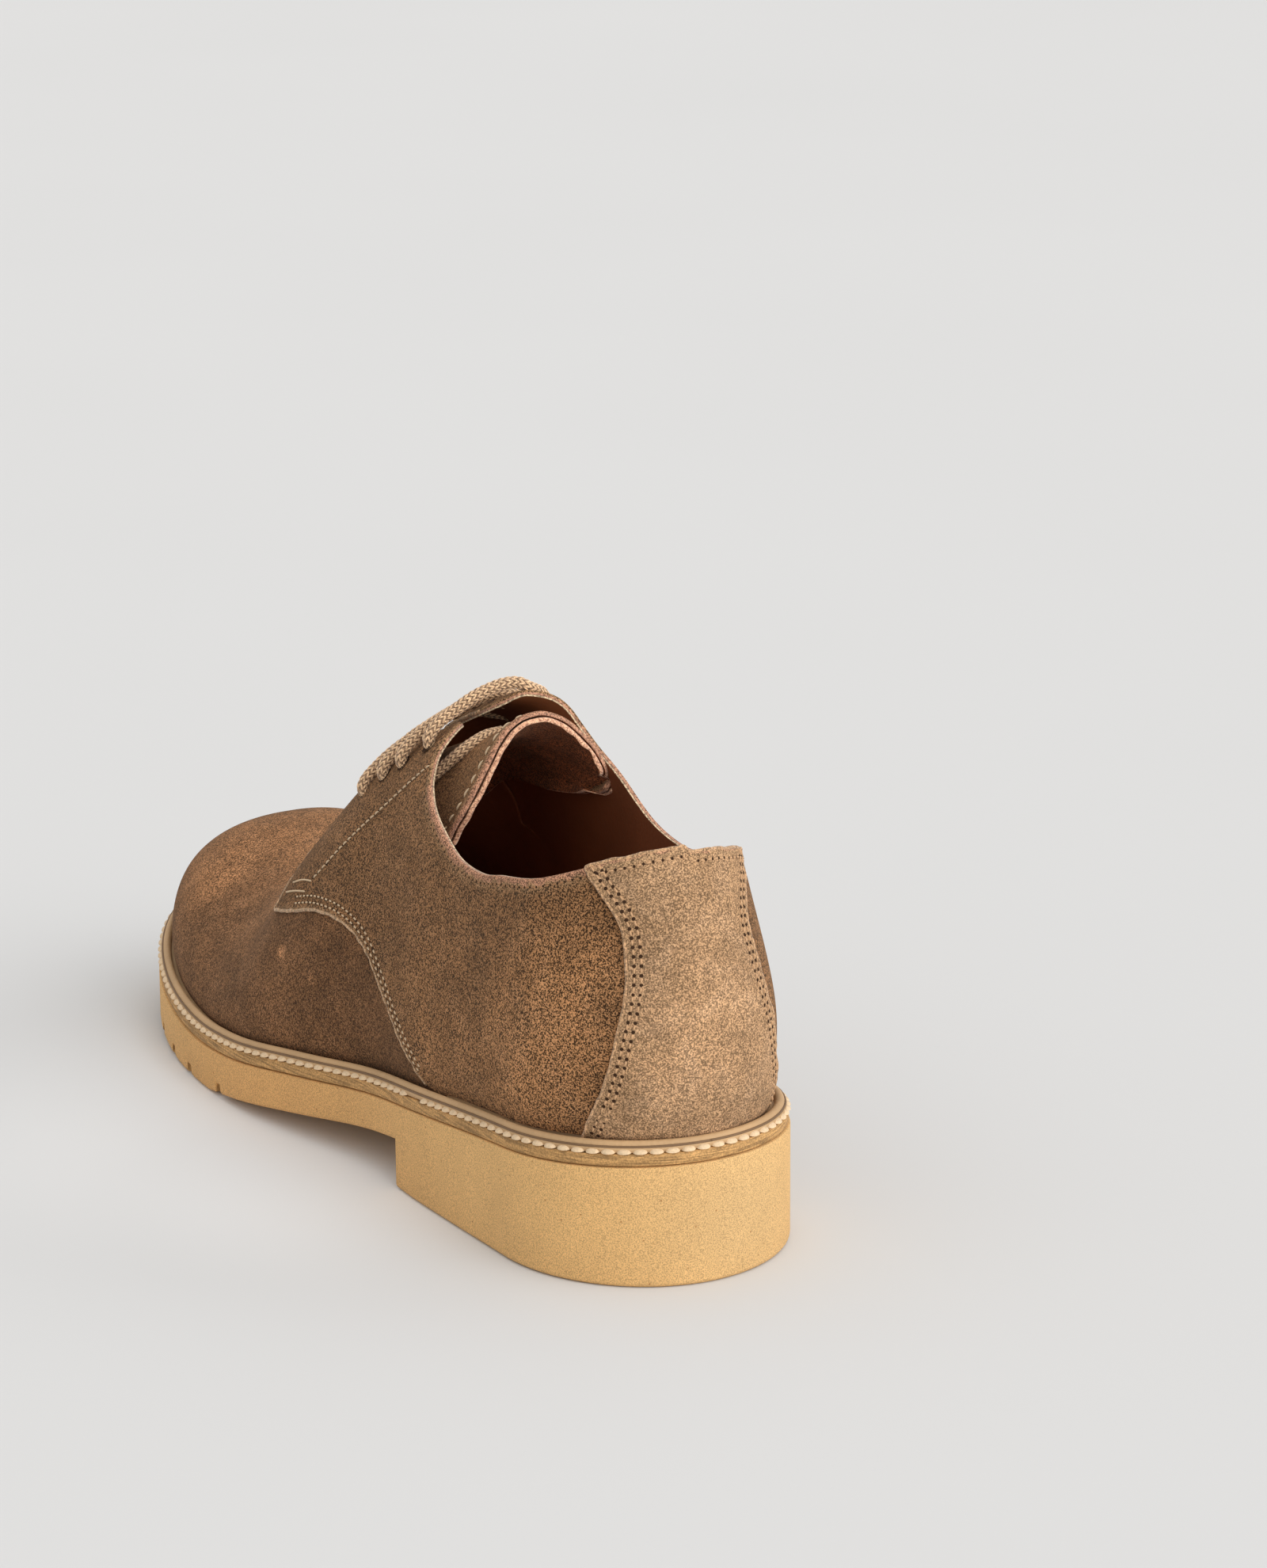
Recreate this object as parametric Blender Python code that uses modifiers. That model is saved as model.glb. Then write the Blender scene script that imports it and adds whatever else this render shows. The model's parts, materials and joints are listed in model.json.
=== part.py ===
"""Suede derby shoe for the left foot, built as separate closed pieces.

The toe points along -Y, the outer side of the foot is at +X and the shoe stands
on Z = 0. Every form follows the same last: the sole outline gives the width of
each section, and a section turns from the feather edge (turn 0, where the upper
meets the welt) up to the ridge of the foot (turn 1).
"""
import math
from collections import namedtuple

import bmesh
import bpy
import numpy as np
from mathutils import Vector

# Driving dimensions in metres
SOLE_LENGTH = 0.300
BALL_WIDTH = 0.103
HEEL_ROUND = 0.0435
TOE_ROUND_OUTER = 0.095
TOE_ROUND_INNER = 0.075
TOE_SWING = 0.0066
SWING_START = 0.60
HEEL_LENGTH = 0.104
HEEL_HEIGHT = 0.0334
TOE_SPRING = 0.0081
TOE_CURVE = 1.7
ARCH_HEIGHT = 0.0137
TREAD_START = 0.68
TREAD_END = 0.75
EDGE_CHAMFER = 0.0015
FINE_CHAMFER = 0.0003
END_SHARE = 0.0004
STATION_SPACING = 0.004
MIDSOLE_THICKNESS = 0.0033
WELT_THICKNESS = 0.0014
RIB_RADIUS = 0.0012
SOLE_MARGIN = 0.0046
WELT_DEPTH = 0.0098
INSOLE_THICKNESS = 0.0025
INSTEP_HEIGHT = 0.127
BACK_HEIGHT = 0.114
WALL = 0.0018
QUARTER_STEP = 0.0012
QUARTER_LAP = 0.0006
LASTED_STEP = 0.00035
STEP_RISE = 0.010
COUNTER_THICKNESS = 0.0012
TONGUE_THICKNESS = 0.0026
LACE_DIAMETER = 0.004
EYELET_DIAMETER = 0.0042
EYELET_CUT = 0.012
GAP = 0.0003
RIB_CLEARANCE = 0.0009
INSOLE_CLEARANCE = 0.0007
SIDE_SHIFT = -0.0003
WELT_EDGE = 0.0008
MIDSOLE_EDGE = 0.0004

# Half widths of the sole as shares of the ball width
Outline = namedtuple("Outline", "along outer inner")
OUTLINE = (
    Outline(0.145, 0.381, 0.401),
    Outline(0.300, 0.394, 0.335),
    Outline(0.420, 0.395, 0.345),
    Outline(0.520, 0.455, 0.398),
    Outline(0.600, 0.495, 0.446),
    Outline(0.683, 0.505, 0.466),
)

# Top of the outsole as shares of the heel height
Profile = namedtuple("Profile", "along top")
SOLE_TOP = (
    Profile(0.00, 1.000),
    Profile(0.15, 0.905),
    Profile(0.30, 0.766),
    Profile(0.50, 0.551),
    Profile(0.72, 0.386),
    Profile(0.86, 0.500),
    Profile(1.00, 0.754),
)

# The last: crest is the ridge's height above the feather edge as a share of the
# instep height, ridge its shift to the inner side as a share of the ball width,
# outer and inner are the fullness of the two flanks, swell how far they bulge
Section = namedtuple("Section", "along crest ridge outer inner swell")
LAST = (
    Section(0.00, 0.90, 0.000, 2.1, 2.0, 0.0020),
    Section(0.10, 0.93, 0.000, 2.1, 2.0, 0.0020),
    Section(0.20, 0.96, 0.005, 2.2, 2.1, 0.0018),
    Section(0.28, 0.87, 0.010, 2.3, 2.5, 0.0014),
    Section(0.34, 0.805, 0.015, 2.4, 2.8, 0.0012),
    Section(0.40, 0.765, 0.020, 2.5, 2.7, 0.0012),
    Section(0.46, 0.722, 0.025, 2.4, 2.5, 0.0014),
    Section(0.53, 0.656, 0.035, 2.15, 2.4, 0.0018),
    Section(0.60, 0.554, 0.045, 1.92, 2.3, 0.0022),
    Section(0.66, 0.441, 0.060, 1.75, 2.3, 0.0024),
    Section(0.72, 0.357, 0.070, 1.75, 2.3, 0.0022),
    Section(0.80, 0.313, 0.065, 1.95, 2.3, 0.0018),
    Section(0.88, 0.308, 0.035, 2.2, 2.3, 0.0014),
    Section(1.00, 0.270, 0.000, 2.4, 2.4, 0.0012),
)
SWELL_HEIGHT = 0.016
SWELL_START = 0.13
TOE_SWELL_START = 0.85
TOE_CLOSE = 0.80
TOE_FULLNESS = 2.4
BACK_REACH = 0.22

# The back seam: set is how far it stands in from the feather edge
Back = namedtuple("Back", "height set")
BACK_SEAM = (
    Back(0.30, 0.0000),
    Back(0.42, -0.0024),
    Back(0.55, -0.0038),
    Back(0.68, -0.0020),
    Back(0.82, 0.0038),
    Back(1.00, 0.0100),
    Back(1.40, 0.0230),
)


def read(rows, column, at):
    """Smooth value of one column of a table at a place given by its first column."""
    at = np.asarray(at, float)
    xs = np.array([row[0] for row in rows])
    ys = np.array([getattr(row, column) for row in rows])
    slope = np.gradient(ys, xs)
    span = np.clip(np.searchsorted(xs, at, side="right") - 1, 0, len(xs) - 2)
    width = xs[span + 1] - xs[span]
    f = np.clip((at - xs[span]) / width, 0.0, 1.0)
    return ((1 + 2 * f) * (1 - f) ** 2 * ys[span] + f * (1 - f) ** 2 * width * slope[span]
            + f * f * (3 - 2 * f) * ys[span + 1] - f * f * (1 - f) * width * slope[span + 1])


def ease(value, start, end):
    """Smooth step from 0 at start to 1 at end."""
    f = np.clip((np.asarray(value, float) - start) / (end - start), 0.0, 1.0)
    return f * f * (3 - 2 * f)


def station(turn):
    """Share of the length for a place from 0 (heel) to 1 (toe), crowded at both ends."""
    return (1 - np.cos(np.pi * np.abs(np.asarray(turn, float)))) / 2


def half_width(along, side):
    """Half width of the sole outline, side +1 outer or -1 inner."""
    along = np.asarray(along, float)
    column = "outer" if side > 0 else "inner"
    heel_end = HEEL_ROUND / SOLE_LENGTH
    toe_end = 1 - (TOE_ROUND_OUTER if side > 0 else TOE_ROUND_INNER) / SOLE_LENGTH
    wide = read(OUTLINE, column, along) * BALL_WIDTH
    heel = np.clip((heel_end - along) / heel_end, 0, 1)
    toe = np.clip((along - toe_end) / (1 - toe_end), 0, 1)
    heel_part = np.sqrt(1 - heel ** 2)
    toe_part = (1 - toe ** TOE_FULLNESS) ** (1 / TOE_FULLNESS)
    return wide * heel_part * toe_part


def swing(along):
    """The centre line: the toe turns to the inner side."""
    return SIDE_SHIFT - TOE_SWING * ease(along, SWING_START, 1.0)


def sole_top(along):
    return read(SOLE_TOP, "top", along) * HEEL_HEIGHT


def feather_height(along):
    return sole_top(along) + MIDSOLE_THICKNESS + WELT_THICKNESS + 3 * GAP


def last_point(place, turn, side=None):
    """A point on the last. place runs from 0 at the heel to 1 at the toe; its sign
    (or side) picks the outer or inner flank. turn is 0 at the feather, 1 at the ridge."""
    place = np.asarray(place, float)
    turn = np.asarray(turn, float)
    place, turn = np.broadcast_arrays(place, turn)
    flank = np.where(place < 0, -1.0, 1.0) if side is None else np.full(place.shape, float(side))
    share = station(place)
    along = along_sole(share)
    width = np.where(flank > 0, inset_width(share, 1), inset_width(share, -1))
    full = np.where(flank > 0, read(LAST, "outer", share), read(LAST, "inner", share))
    base = feather_height(along)
    close = np.clip((share - TOE_CLOSE) / (1 - TOE_CLOSE), 0, 1)
    tall = read(LAST, "crest", share) * INSTEP_HEIGHT * (1 - close ** TOE_FULLNESS) ** (1 / TOE_FULLNESS)
    angle = turn * np.pi / 2
    rise = tall * np.sin(angle) ** (2 / full)
    high = rise / SWELL_HEIGHT
    heel_part = np.sqrt(1 - np.clip((SWELL_START - share) / SWELL_START, 0, 1) ** 2)
    toe_part = (1 - close ** TOE_FULLNESS) ** (1 / TOE_FULLNESS)
    swell = read(LAST, "swell", share) * high * np.exp(1 - high) * heel_part * toe_part
    reach = (width + swell) * np.clip(np.cos(angle), 0, 1) ** (2 / full)
    ridge = -read(LAST, "ridge", share) * BALL_WIDTH * np.sin(angle) ** 2
    z = base + rise
    back = read(BACK_SEAM, "set", z / BACK_HEIGHT) - read(BACK_SEAM, "set", BACK_SEAM[0].height)
    y = y_at(along) - back * (1 - ease(share, 0.0, BACK_REACH))
    toe_swell = read(LAST, "swell", share) * high * np.exp(1 - high) * ease(share, TOE_SWELL_START, 1.0)
    y = y - toe_swell * np.cos(angle)
    x = flank * reach + ridge + swing(along)
    return np.stack([x, y, z], -1)


def inset_width(share, side):
    """Half width of the feather line, the outline drawn in by the feather inset."""
    wide = read(OUTLINE, "outer" if side > 0 else "inner", share) * BALL_WIDTH
    return half_width(share, side) * (1 - feather_inset(share) / wide)


def layer_depth(share):
    """How far the quarter and the counter stand out from the last at the feather."""
    quarter = LASTED_STEP * (1 - ease(share, 0.28, 0.34))
    counter = (GAP + COUNTER_THICKNESS) * (1 - ease(share, 0.05, 0.12))
    return quarter + counter


def feather_inset(share):
    """From the sole's edge in to the last, behind the layers of the upper."""
    return SOLE_MARGIN + layer_depth(share)


def along_sole(share):
    """Where a section of the last stands on the sole, which is longer than it."""
    heel = feather_inset(0.0) / SOLE_LENGTH
    toe = feather_inset(1.0) / SOLE_LENGTH
    return heel + share * (1 - heel - toe)


def y_at(along):
    """Where a share of the sole's length, from the heel, lies on the Y axis."""
    return SOLE_LENGTH * (0.5 - along)


def length_share(y):
    """Share of the sole's length, from the heel, at a place on the Y axis."""
    return 0.5 - y / SOLE_LENGTH


def quarter_proud(spot):
    """How far the quarter's outer face stands out from the last at a point on it."""
    rise = spot[2] - float(feather_height(length_share(spot[1])))
    return LASTED_STEP + (QUARTER_STEP - LASTED_STEP) * float(ease(rise, 0.0, STEP_RISE))


# The quarters, a row for each rib from the back seam (share 0) to the front edge
# (share 1): where the rib starts below and where it ends above
Rib = namedtuple("Rib", "share low_along low_turn top_along top_turn")
QUARTER = (
    Rib(0.00, 0.000, 0.004, 0.000, 0.447),
    Rib(0.10, 0.020, 0.004, 0.017, 0.430),
    Rib(0.20, 0.060, 0.004, 0.057, 0.400),
    Rib(0.30, 0.120, 0.004, 0.110, 0.366),
    Rib(0.40, 0.180, 0.004, 0.171, 0.337),
    Rib(0.48, 0.240, 0.004, 0.217, 0.330),
    Rib(0.56, 0.297, 0.004, 0.271, 0.372),
    Rib(0.62, 0.330, 0.036, 0.311, 0.440),
    Rib(0.68, 0.366, 0.080, 0.348, 0.520),
    Rib(0.73, 0.400, 0.135, 0.371, 0.590),
    Rib(0.78, 0.430, 0.192, 0.390, 0.690),
    Rib(0.83, 0.462, 0.240, 0.405, 0.830),
    Rib(0.86, 0.485, 0.268, 0.424, 0.900),
    Rib(0.89, 0.515, 0.298, 0.462, 0.900),
    Rib(0.95, 0.568, 0.338, 0.535, 0.890),
    Rib(1.00, 0.613, 0.384, 0.600, 0.850),
)
INNER_SHIFT = -0.030

# The vamp's hidden rear edge, under the quarters and at the throat
Edge = namedtuple("Edge", "turn along")
VAMP_REAR = (
    Edge(0.00, 0.265),
    Edge(0.10, 0.335),
    Edge(0.20, 0.395),
    Edge(0.30, 0.460),
    Edge(0.38, 0.530),
    Edge(0.46, 0.580),
    Edge(0.60, 0.590),
    Edge(1.00, 0.590),
)

# How far in front of the throat the vamp's even sections begin
WING_SHARE = 0.04

# The counter's side edge, height is a share of the way up to the collar
Patch = namedtuple("Patch", "height along")
COUNTER_EDGE = (
    Patch(0.00, 0.054),
    Patch(0.12, 0.042),
    Patch(0.35, 0.031),
    Patch(0.60, 0.0235),
    Patch(0.75, 0.0255),
    Patch(0.90, 0.041),
    Patch(1.00, 0.052),
)

# The tongue, a row for each section from its free end (share 0) to the throat
Leaf = namedtuple("Leaf", "share along turn")
TONGUE = (
    Leaf(0.00, 0.332, 0.46),
    Leaf(0.20, 0.385, 0.51),
    Leaf(0.55, 0.490, 0.60),
    Leaf(1.00, 0.590, 0.70),
)

# One lace bar for each pair of holes: hump is its height over the ridge
Bar = namedtuple("Bar", "outer inner turn hump")
LACE_BARS = (
    Bar(0.452, 0.412, 0.76, 0.0055),
    Bar(0.490, 0.458, 0.75, 0.0012),
    Bar(0.526, 0.496, 0.74, 0.0006),
    Bar(0.562, 0.534, 0.73, 0.0004),
)

# Treads across the forepart: where each groove crosses the sole's outer edge
GROOVES = (0.80, 0.87, 0.93, 0.975)
GROOVE_WIDTH = 0.0035
GROOVE_DEPTH = 0.0026
GROOVE_REACH = 0.012

COLOURS = {
    "outsole": (0.47, 0.31, 0.14, 0.75),
    "midsole": (0.21, 0.15, 0.09, 0.80),
    "welt": (0.55, 0.38, 0.22, 0.70),
    "insole": (0.16, 0.08, 0.045, 0.65),
    "upper": (0.17, 0.105, 0.065, 0.95),
    "counter": (0.25, 0.17, 0.11, 0.95),
    "tongue": (0.17, 0.105, 0.065, 0.95),
    "lace": (0.36, 0.22, 0.12, 0.90),
}


def clear_scene():
    for item in list(bpy.data.objects):
        bpy.data.objects.remove(item, do_unlink=True)


def collection(name):
    group = bpy.data.collections.new(name)
    bpy.context.scene.collection.children.link(group)
    return group


def material(name):
    red, green, blue, rough = COLOURS[name]
    made = bpy.data.materials.new(name)
    made.use_nodes = True
    shader = made.node_tree.nodes["Principled BSDF"]
    shader.inputs["Base Color"].default_value = (red, green, blue, 1)
    shader.inputs["Roughness"].default_value = rough
    shader.inputs["Metallic"].default_value = 0
    return made


def add_object(name, mesh, group, finish):
    piece = bpy.data.objects.new(name, mesh)
    group.objects.link(piece)
    mesh.materials.append(finish)
    mesh.shade_smooth()
    return piece


def place_of(along):
    """The place whose station is this share of the length."""
    return np.arccos(np.clip(1 - 2 * np.asarray(along, float), -1, 1)) / np.pi


def grid_mesh(name, points, proud=None):
    """Open surface through a grid of points, moved outwards by proud at each of them."""
    rows, columns = points.shape[:2]
    mesh = bmesh.new()
    verts = [mesh.verts.new(p) for p in points.reshape(-1, 3)]
    for i in range(rows - 1):
        for j in range(columns - 1):
            corner = i * columns + j
            mesh.faces.new([verts[k] for k in (corner, corner + 1, corner + columns + 1, corner + columns)])
    bmesh.ops.remove_doubles(mesh, verts=mesh.verts, dist=0.00005)
    bmesh.ops.dissolve_degenerate(mesh, edges=mesh.edges, dist=0.00001)
    bmesh.ops.recalc_face_normals(mesh, faces=mesh.faces)
    mesh.normal_update()
    centre = sum((v.co for v in mesh.verts), Vector()) / len(mesh.verts)
    outward = sum((f.normal.dot(f.calc_center_median() - centre) * f.calc_area() for f in mesh.faces))
    if outward < 0:
        bmesh.ops.reverse_faces(mesh, faces=mesh.faces)
        mesh.normal_update()
    if proud:
        moves = [(v, v.normal * proud(v.co)) for v in mesh.verts]
        for vert, move in moves:
            vert.co += move
    made = bpy.data.meshes.new(name)
    mesh.to_mesh(made)
    mesh.free()
    return made


def thicken(piece, thickness):
    shell = piece.modifiers.new("wall", "SOLIDIFY")
    shell.thickness = thickness
    shell.offset = -1
    shell.use_even_offset = True
    shell.use_quality_normals = True
    return piece


def join_solid(piece, other, operation):
    """Boolean with the evaluated shape of another solid, which stays a hidden guide."""
    cut = piece.modifiers.new(operation.lower(), "BOOLEAN")
    cut.operation = operation
    cut.solver = "EXACT"
    cut.object = other
    other.hide_render = True
    other.display_type = "WIRE"
    return piece


def loft(name, rings, group, finish, closed):
    """Closed solid through rings of equal count; open ends get caps, or the loop closes."""
    mesh = bmesh.new()
    verts = [[mesh.verts.new(p) for p in ring] for ring in rings]
    count = len(rings[0])
    steps = len(rings) if closed else len(rings) - 1
    for i in range(steps):
        a = verts[i]
        b = verts[(i + 1) % len(rings)]
        for j in range(count):
            k = (j + 1) % count
            mesh.faces.new((a[j], a[k], b[k], b[j]))
    if not closed:
        mesh.faces.new(verts[0][::-1])
        mesh.faces.new(verts[-1])
    bmesh.ops.remove_doubles(mesh, verts=mesh.verts, dist=0.00002)
    bmesh.ops.dissolve_degenerate(mesh, edges=mesh.edges, dist=0.00001)
    bmesh.ops.recalc_face_normals(mesh, faces=mesh.faces)
    if mesh.calc_volume(signed=True) < 0:
        bmesh.ops.reverse_faces(mesh, faces=mesh.faces)
    made = bpy.data.meshes.new(name)
    mesh.to_mesh(made)
    mesh.free()
    return add_object(name, made, group, finish)


def outline_pair(along, inset):
    """Outer and inner edge of the sole at one section, drawn in by inset."""
    inner_span = inset / SOLE_LENGTH
    shifted = inner_span + along * (1 - 2 * inner_span)
    edges = []
    for side in (1, -1):
        wide = read(OUTLINE, "outer" if side > 0 else "inner", along) * BALL_WIDTH
        x = side * half_width(along, side) * (1 - inset / wide) + swing(shifted)
        edges.append((float(x), float(y_at(shifted))))
    return edges


def under_sole(along):
    """Height of the outsole's underside: heel, arch, flat tread, toe spring."""
    breast = HEEL_LENGTH / SOLE_LENGTH
    if along <= breast:
        return 0.0
    if along < TREAD_START:
        f = (along - breast) / (TREAD_START - breast)
        return ARCH_HEIGHT * (1 - f)
    if along <= TREAD_END:
        return 0.0
    f = (along - TREAD_END) / (1 - TREAD_END)
    return TOE_SPRING * f ** TOE_CURVE


def slab(name, group, finish, stations, inset, top, bottom, chamfer):
    """Loft of level sections between two height functions, with a chamfered lower edge."""
    rings = []
    for along in stations:
        outer, inner = outline_pair(along, inset)
        level = length_share(outer[1])
        low = bottom(level)
        high = top(level)
        half = abs(outer[0] - inner[0]) / 2
        cut = min(chamfer, half)
        ring = [
            (outer[0], outer[1], high),
            (outer[0], outer[1], low + chamfer),
            (outer[0] - cut, outer[1], low),
            (inner[0] + cut, inner[1], low),
            (inner[0], inner[1], low + chamfer),
            (inner[0], inner[1], high),
        ]
        rings.append(ring)
    return loft(name, rings, group, finish, False)


def sole_stations(count, extra=()):
    even = [float(station(i / count)) for i in range(count + 1)]
    even[0] = END_SHARE
    even[-1] = 1 - END_SHARE
    kept = [s for s in even if all(abs(s - e) > STATION_SPACING for e in extra)]
    return sorted(kept + list(extra))


def make_outsole(group, guides):
    breast = HEEL_LENGTH / SOLE_LENGTH
    stations = sole_stations(44, (breast, breast + STATION_SPACING, TREAD_START, TREAD_END))
    top = lambda along: float(sole_top(along))
    piece = slab("outsole", group, material("outsole"), stations, 0.0, top, under_sole, EDGE_CHAMFER)
    for number, along in enumerate(GROOVES):
        for side in (1, -1):
            edge = outline_pair(along, 0.0)[0 if side > 0 else 1]
            ahead = outline_pair(along + 0.01, 0.0)[0 if side > 0 else 1]
            heading = math.atan2(ahead[1] - edge[1], ahead[0] - edge[0])
            low = under_sole(along)
            bpy.ops.mesh.primitive_cube_add(size=1)
            cutter = bpy.context.object
            cutter.name = f"groove_{number}_{'outer' if side > 0 else 'inner'}"
            cutter.scale = (GROOVE_WIDTH, GROOVE_REACH * 2, GROOVE_DEPTH * 2)
            cutter.location = (edge[0], edge[1], low)
            cutter.rotation_euler = (0, 0, heading)
            for old in list(cutter.users_collection):
                old.objects.unlink(cutter)
            guides.objects.link(cutter)
            join_solid(piece, cutter, "DIFFERENCE")
    return piece


def make_midsole(group):
    low = lambda along: float(sole_top(along)) + GAP
    high = lambda along: float(sole_top(along)) + GAP + MIDSOLE_THICKNESS
    return slab("midsole", group, material("midsole"), sole_stations(40), MIDSOLE_EDGE, high, low, FINE_CHAMFER)


def loop_stations(count):
    """Stations round the whole outline: out along the outer side, back along the inner."""
    out = [(float(station(i / count)), 1) for i in range(count + 1)]
    back = [(float(station(i / count)), -1) for i in range(count - 1, 0, -1)]
    return out + back


def make_welt(group):
    """The strip the upper stands on, with the raised rib in front of it."""
    base = MIDSOLE_THICKNESS + 2 * GAP
    rib_inset = SOLE_MARGIN - RIB_CLEARANCE - RIB_RADIUS
    profile = [(WELT_EDGE, 0.0), (WELT_EDGE, WELT_THICKNESS), (rib_inset - RIB_RADIUS, WELT_THICKNESS)]
    for step in range(1, 5):
        angle = math.pi * (1 - step / 4)
        profile.append((rib_inset + RIB_RADIUS * math.cos(angle), WELT_THICKNESS + RIB_RADIUS * math.sin(angle)))
    profile += [(WELT_DEPTH, WELT_THICKNESS), (WELT_DEPTH, 0.0)]
    rings = []
    for along, side in loop_stations(40):
        ring = []
        for inset, height in profile:
            x, y = outline_pair(along, inset)[0 if side > 0 else 1]
            ring.append((x, y, float(sole_top(length_share(y))) + base + height))
        rings.append(ring)
    return loft("welt", rings, group, material("welt"), True)


def make_insole(group):
    low = lambda along: float(sole_top(along)) + MIDSOLE_THICKNESS + 2 * GAP
    high = lambda along: low(along) + INSOLE_THICKNESS
    inset = WELT_DEPTH + INSOLE_CLEARANCE
    return slab("insole", group, material("insole"), sole_stations(30), inset, high, low, FINE_CHAMFER)


def quarter_grid(ups=10):
    """Grid of the two quarters in one piece, from the outer front edge round the heel."""
    shares = []
    for before, after in zip(QUARTER, QUARTER[1:]):
        shares += [before.share, (before.share + after.share) / 2]
    shares.append(1.0)
    signed = [(s, 1) for s in reversed(shares)] + [(s, -1) for s in shares[1:]]
    rows = []
    for share, side in signed:
        shift = INNER_SHIFT * float(ease(share, 0.4, 0.8)) if side < 0 else 0.0
        low = place_of(read(QUARTER, "low_along", share))
        high = place_of(read(QUARTER, "top_along", share) + shift)
        low_turn = read(QUARTER, "low_turn", share)
        top_turn = read(QUARTER, "top_turn", share)
        up = np.linspace(0, 1, ups + 1)
        place = low + (high - low) * up
        turn = low_turn + (top_turn - low_turn) * up
        rows.append(last_point(place, turn, side))
    return np.array(rows)


def vamp_grid(wings=9, lengths=13, turns=12):
    """Grid of the vamp, columns from the outer feather over the ridge to the inner one."""
    across = [(i / turns, 1) for i in range(turns + 1)] + [(i / turns, -1) for i in range(turns - 1, -1, -1)]
    throat = float(place_of(VAMP_REAR[-1].along + WING_SHARE))
    columns = []
    for turn, side in across:
        rear = float(place_of(read(VAMP_REAR, "along", turn)))
        wing = np.linspace(rear, throat, wings, endpoint=False)
        place = np.concatenate([wing, np.linspace(throat, 1, lengths + 1)])
        columns.append(last_point(place, np.full(place.shape, turn), side))
    return np.array(columns).transpose(1, 0, 2)


def make_upper(group, guides):
    finish = material("upper")
    vamp = add_object("upper", grid_mesh("upper", vamp_grid()), group, finish)
    thicken(vamp, WALL)
    quarters = add_object("quarters_guide", grid_mesh("quarters_guide", quarter_grid(), quarter_proud), guides, finish)
    thicken(quarters, QUARTER_STEP + QUARTER_LAP)
    join_solid(vamp, quarters, "UNION")
    for number, bar in enumerate(LACE_BARS):
        for side in (1, -1):
            along = bar.outer if side > 0 else bar.inner
            centre, normal = surface_frame(along, bar.turn, side)
            bpy.ops.mesh.primitive_cylinder_add(vertices=10, radius=EYELET_DIAMETER / 2, depth=EYELET_CUT)
            cutter = bpy.context.object
            cutter.name = f"eyelet_{number}_{'outer' if side > 0 else 'inner'}"
            cutter.location = centre
            cutter.rotation_mode = "QUATERNION"
            cutter.rotation_quaternion = normal.to_track_quat("Z", "Y")
            for old in list(cutter.users_collection):
                old.objects.unlink(cutter)
            guides.objects.link(cutter)
            join_solid(vamp, cutter, "DIFFERENCE")
    return vamp


def surface_frame(along, turn, side):
    """A point on the last and the outward direction there."""
    step = 0.004
    place = float(place_of(along))
    middle = last_point(place, turn, side)
    ahead = last_point(place + step, turn, side) - last_point(place - step, turn, side)
    above = last_point(place, min(turn + step, 1), side) - last_point(place, turn - step, side)
    normal = Vector(np.cross(ahead, above)).normalized()
    if normal.x * side < 0:
        normal = -normal
    return Vector(middle), normal


def make_counter(group):
    ups = 12
    rows = []
    for i in range(ups + 1):
        height = i / ups
        edge = float(read(COUNTER_EDGE, "along", height))
        edge_place = float(place_of(edge))
        row = []
        for step in range(-6, 7):
            place = edge_place * abs(step) / 6
            side = 1 if step >= 0 else -1
            along = float(station(place))
            share = np.interp(along, [r.top_along for r in QUARTER[:5]], [r.share for r in QUARTER[:5]])
            top = float(read(QUARTER, "top_turn", share))
            low = QUARTER[0].low_turn
            row.append(last_point(place, low + (top - low) * height, side))
        rows.append(row)
    proud = lambda spot: quarter_proud(spot) + GAP + COUNTER_THICKNESS
    surface = grid_mesh("counter", np.array(rows), proud)
    return thicken(add_object("counter", surface, group, material("counter")), COUNTER_THICKNESS)


def make_tongue(group):
    lengths = 14
    turns = 7
    columns = []
    for step in range(-turns, turns + 1):
        side = 1 if step < 0 else -1
        row = []
        for i in range(lengths + 1):
            share = i / lengths
            along = float(read(TONGUE, "along", share)) - GAP / SOLE_LENGTH
            edge = float(read(TONGUE, "turn", share))
            turn = 1 - (1 - edge) * abs(step) / turns
            row.append(last_point(place_of(along), turn, side))
        columns.append(row)
    surface = grid_mesh("tongue", np.array(columns), lambda spot: -(QUARTER_LAP + GAP))
    return thicken(add_object("tongue", surface, group, material("tongue")), TONGUE_THICKNESS)


def make_lace_bar(number, bar, group):
    """One bar of round lace over the throat, from hole to hole."""
    radius = LACE_DIAMETER / 2
    face = QUARTER_STEP + GAP
    knots = []
    for side, along in ((1, bar.outer), (-1, bar.inner)):
        hole, up = surface_frame(along, bar.turn, side)
        inward, inward_up = surface_frame(along, bar.turn + (1 - bar.turn) * 0.12, side)
        half, half_up = surface_frame(along, (1 + bar.turn) / 2, side)
        leg = [
            hole + up * face,
            inward + inward_up * (face + radius * 1.5),
            half + half_up * (face + radius + GAP + bar.hump * 0.7),
        ]
        knots += leg if side > 0 else leg[::-1]
    ridge = Vector(last_point(float(place_of((bar.outer + bar.inner) / 2)), 1.0, 1))
    knots.insert(3, ridge + Vector((0, 0, face + radius + GAP + bar.hump)))
    points = smooth_route(knots, 3)
    curve = bpy.data.curves.new(f"lace_bar_{number}", "CURVE")
    curve.dimensions = "3D"
    curve.bevel_depth = radius
    curve.bevel_resolution = 2
    curve.use_fill_caps = True
    spline = curve.splines.new("POLY")
    spline.points.add(len(points) - 1)
    for point, place in zip(spline.points, points):
        point.co = (*place, 1)
    curve.materials.append(material("lace"))
    piece = bpy.data.objects.new(f"lace_bar_{number}", curve)
    group.objects.link(piece)
    return piece


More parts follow.
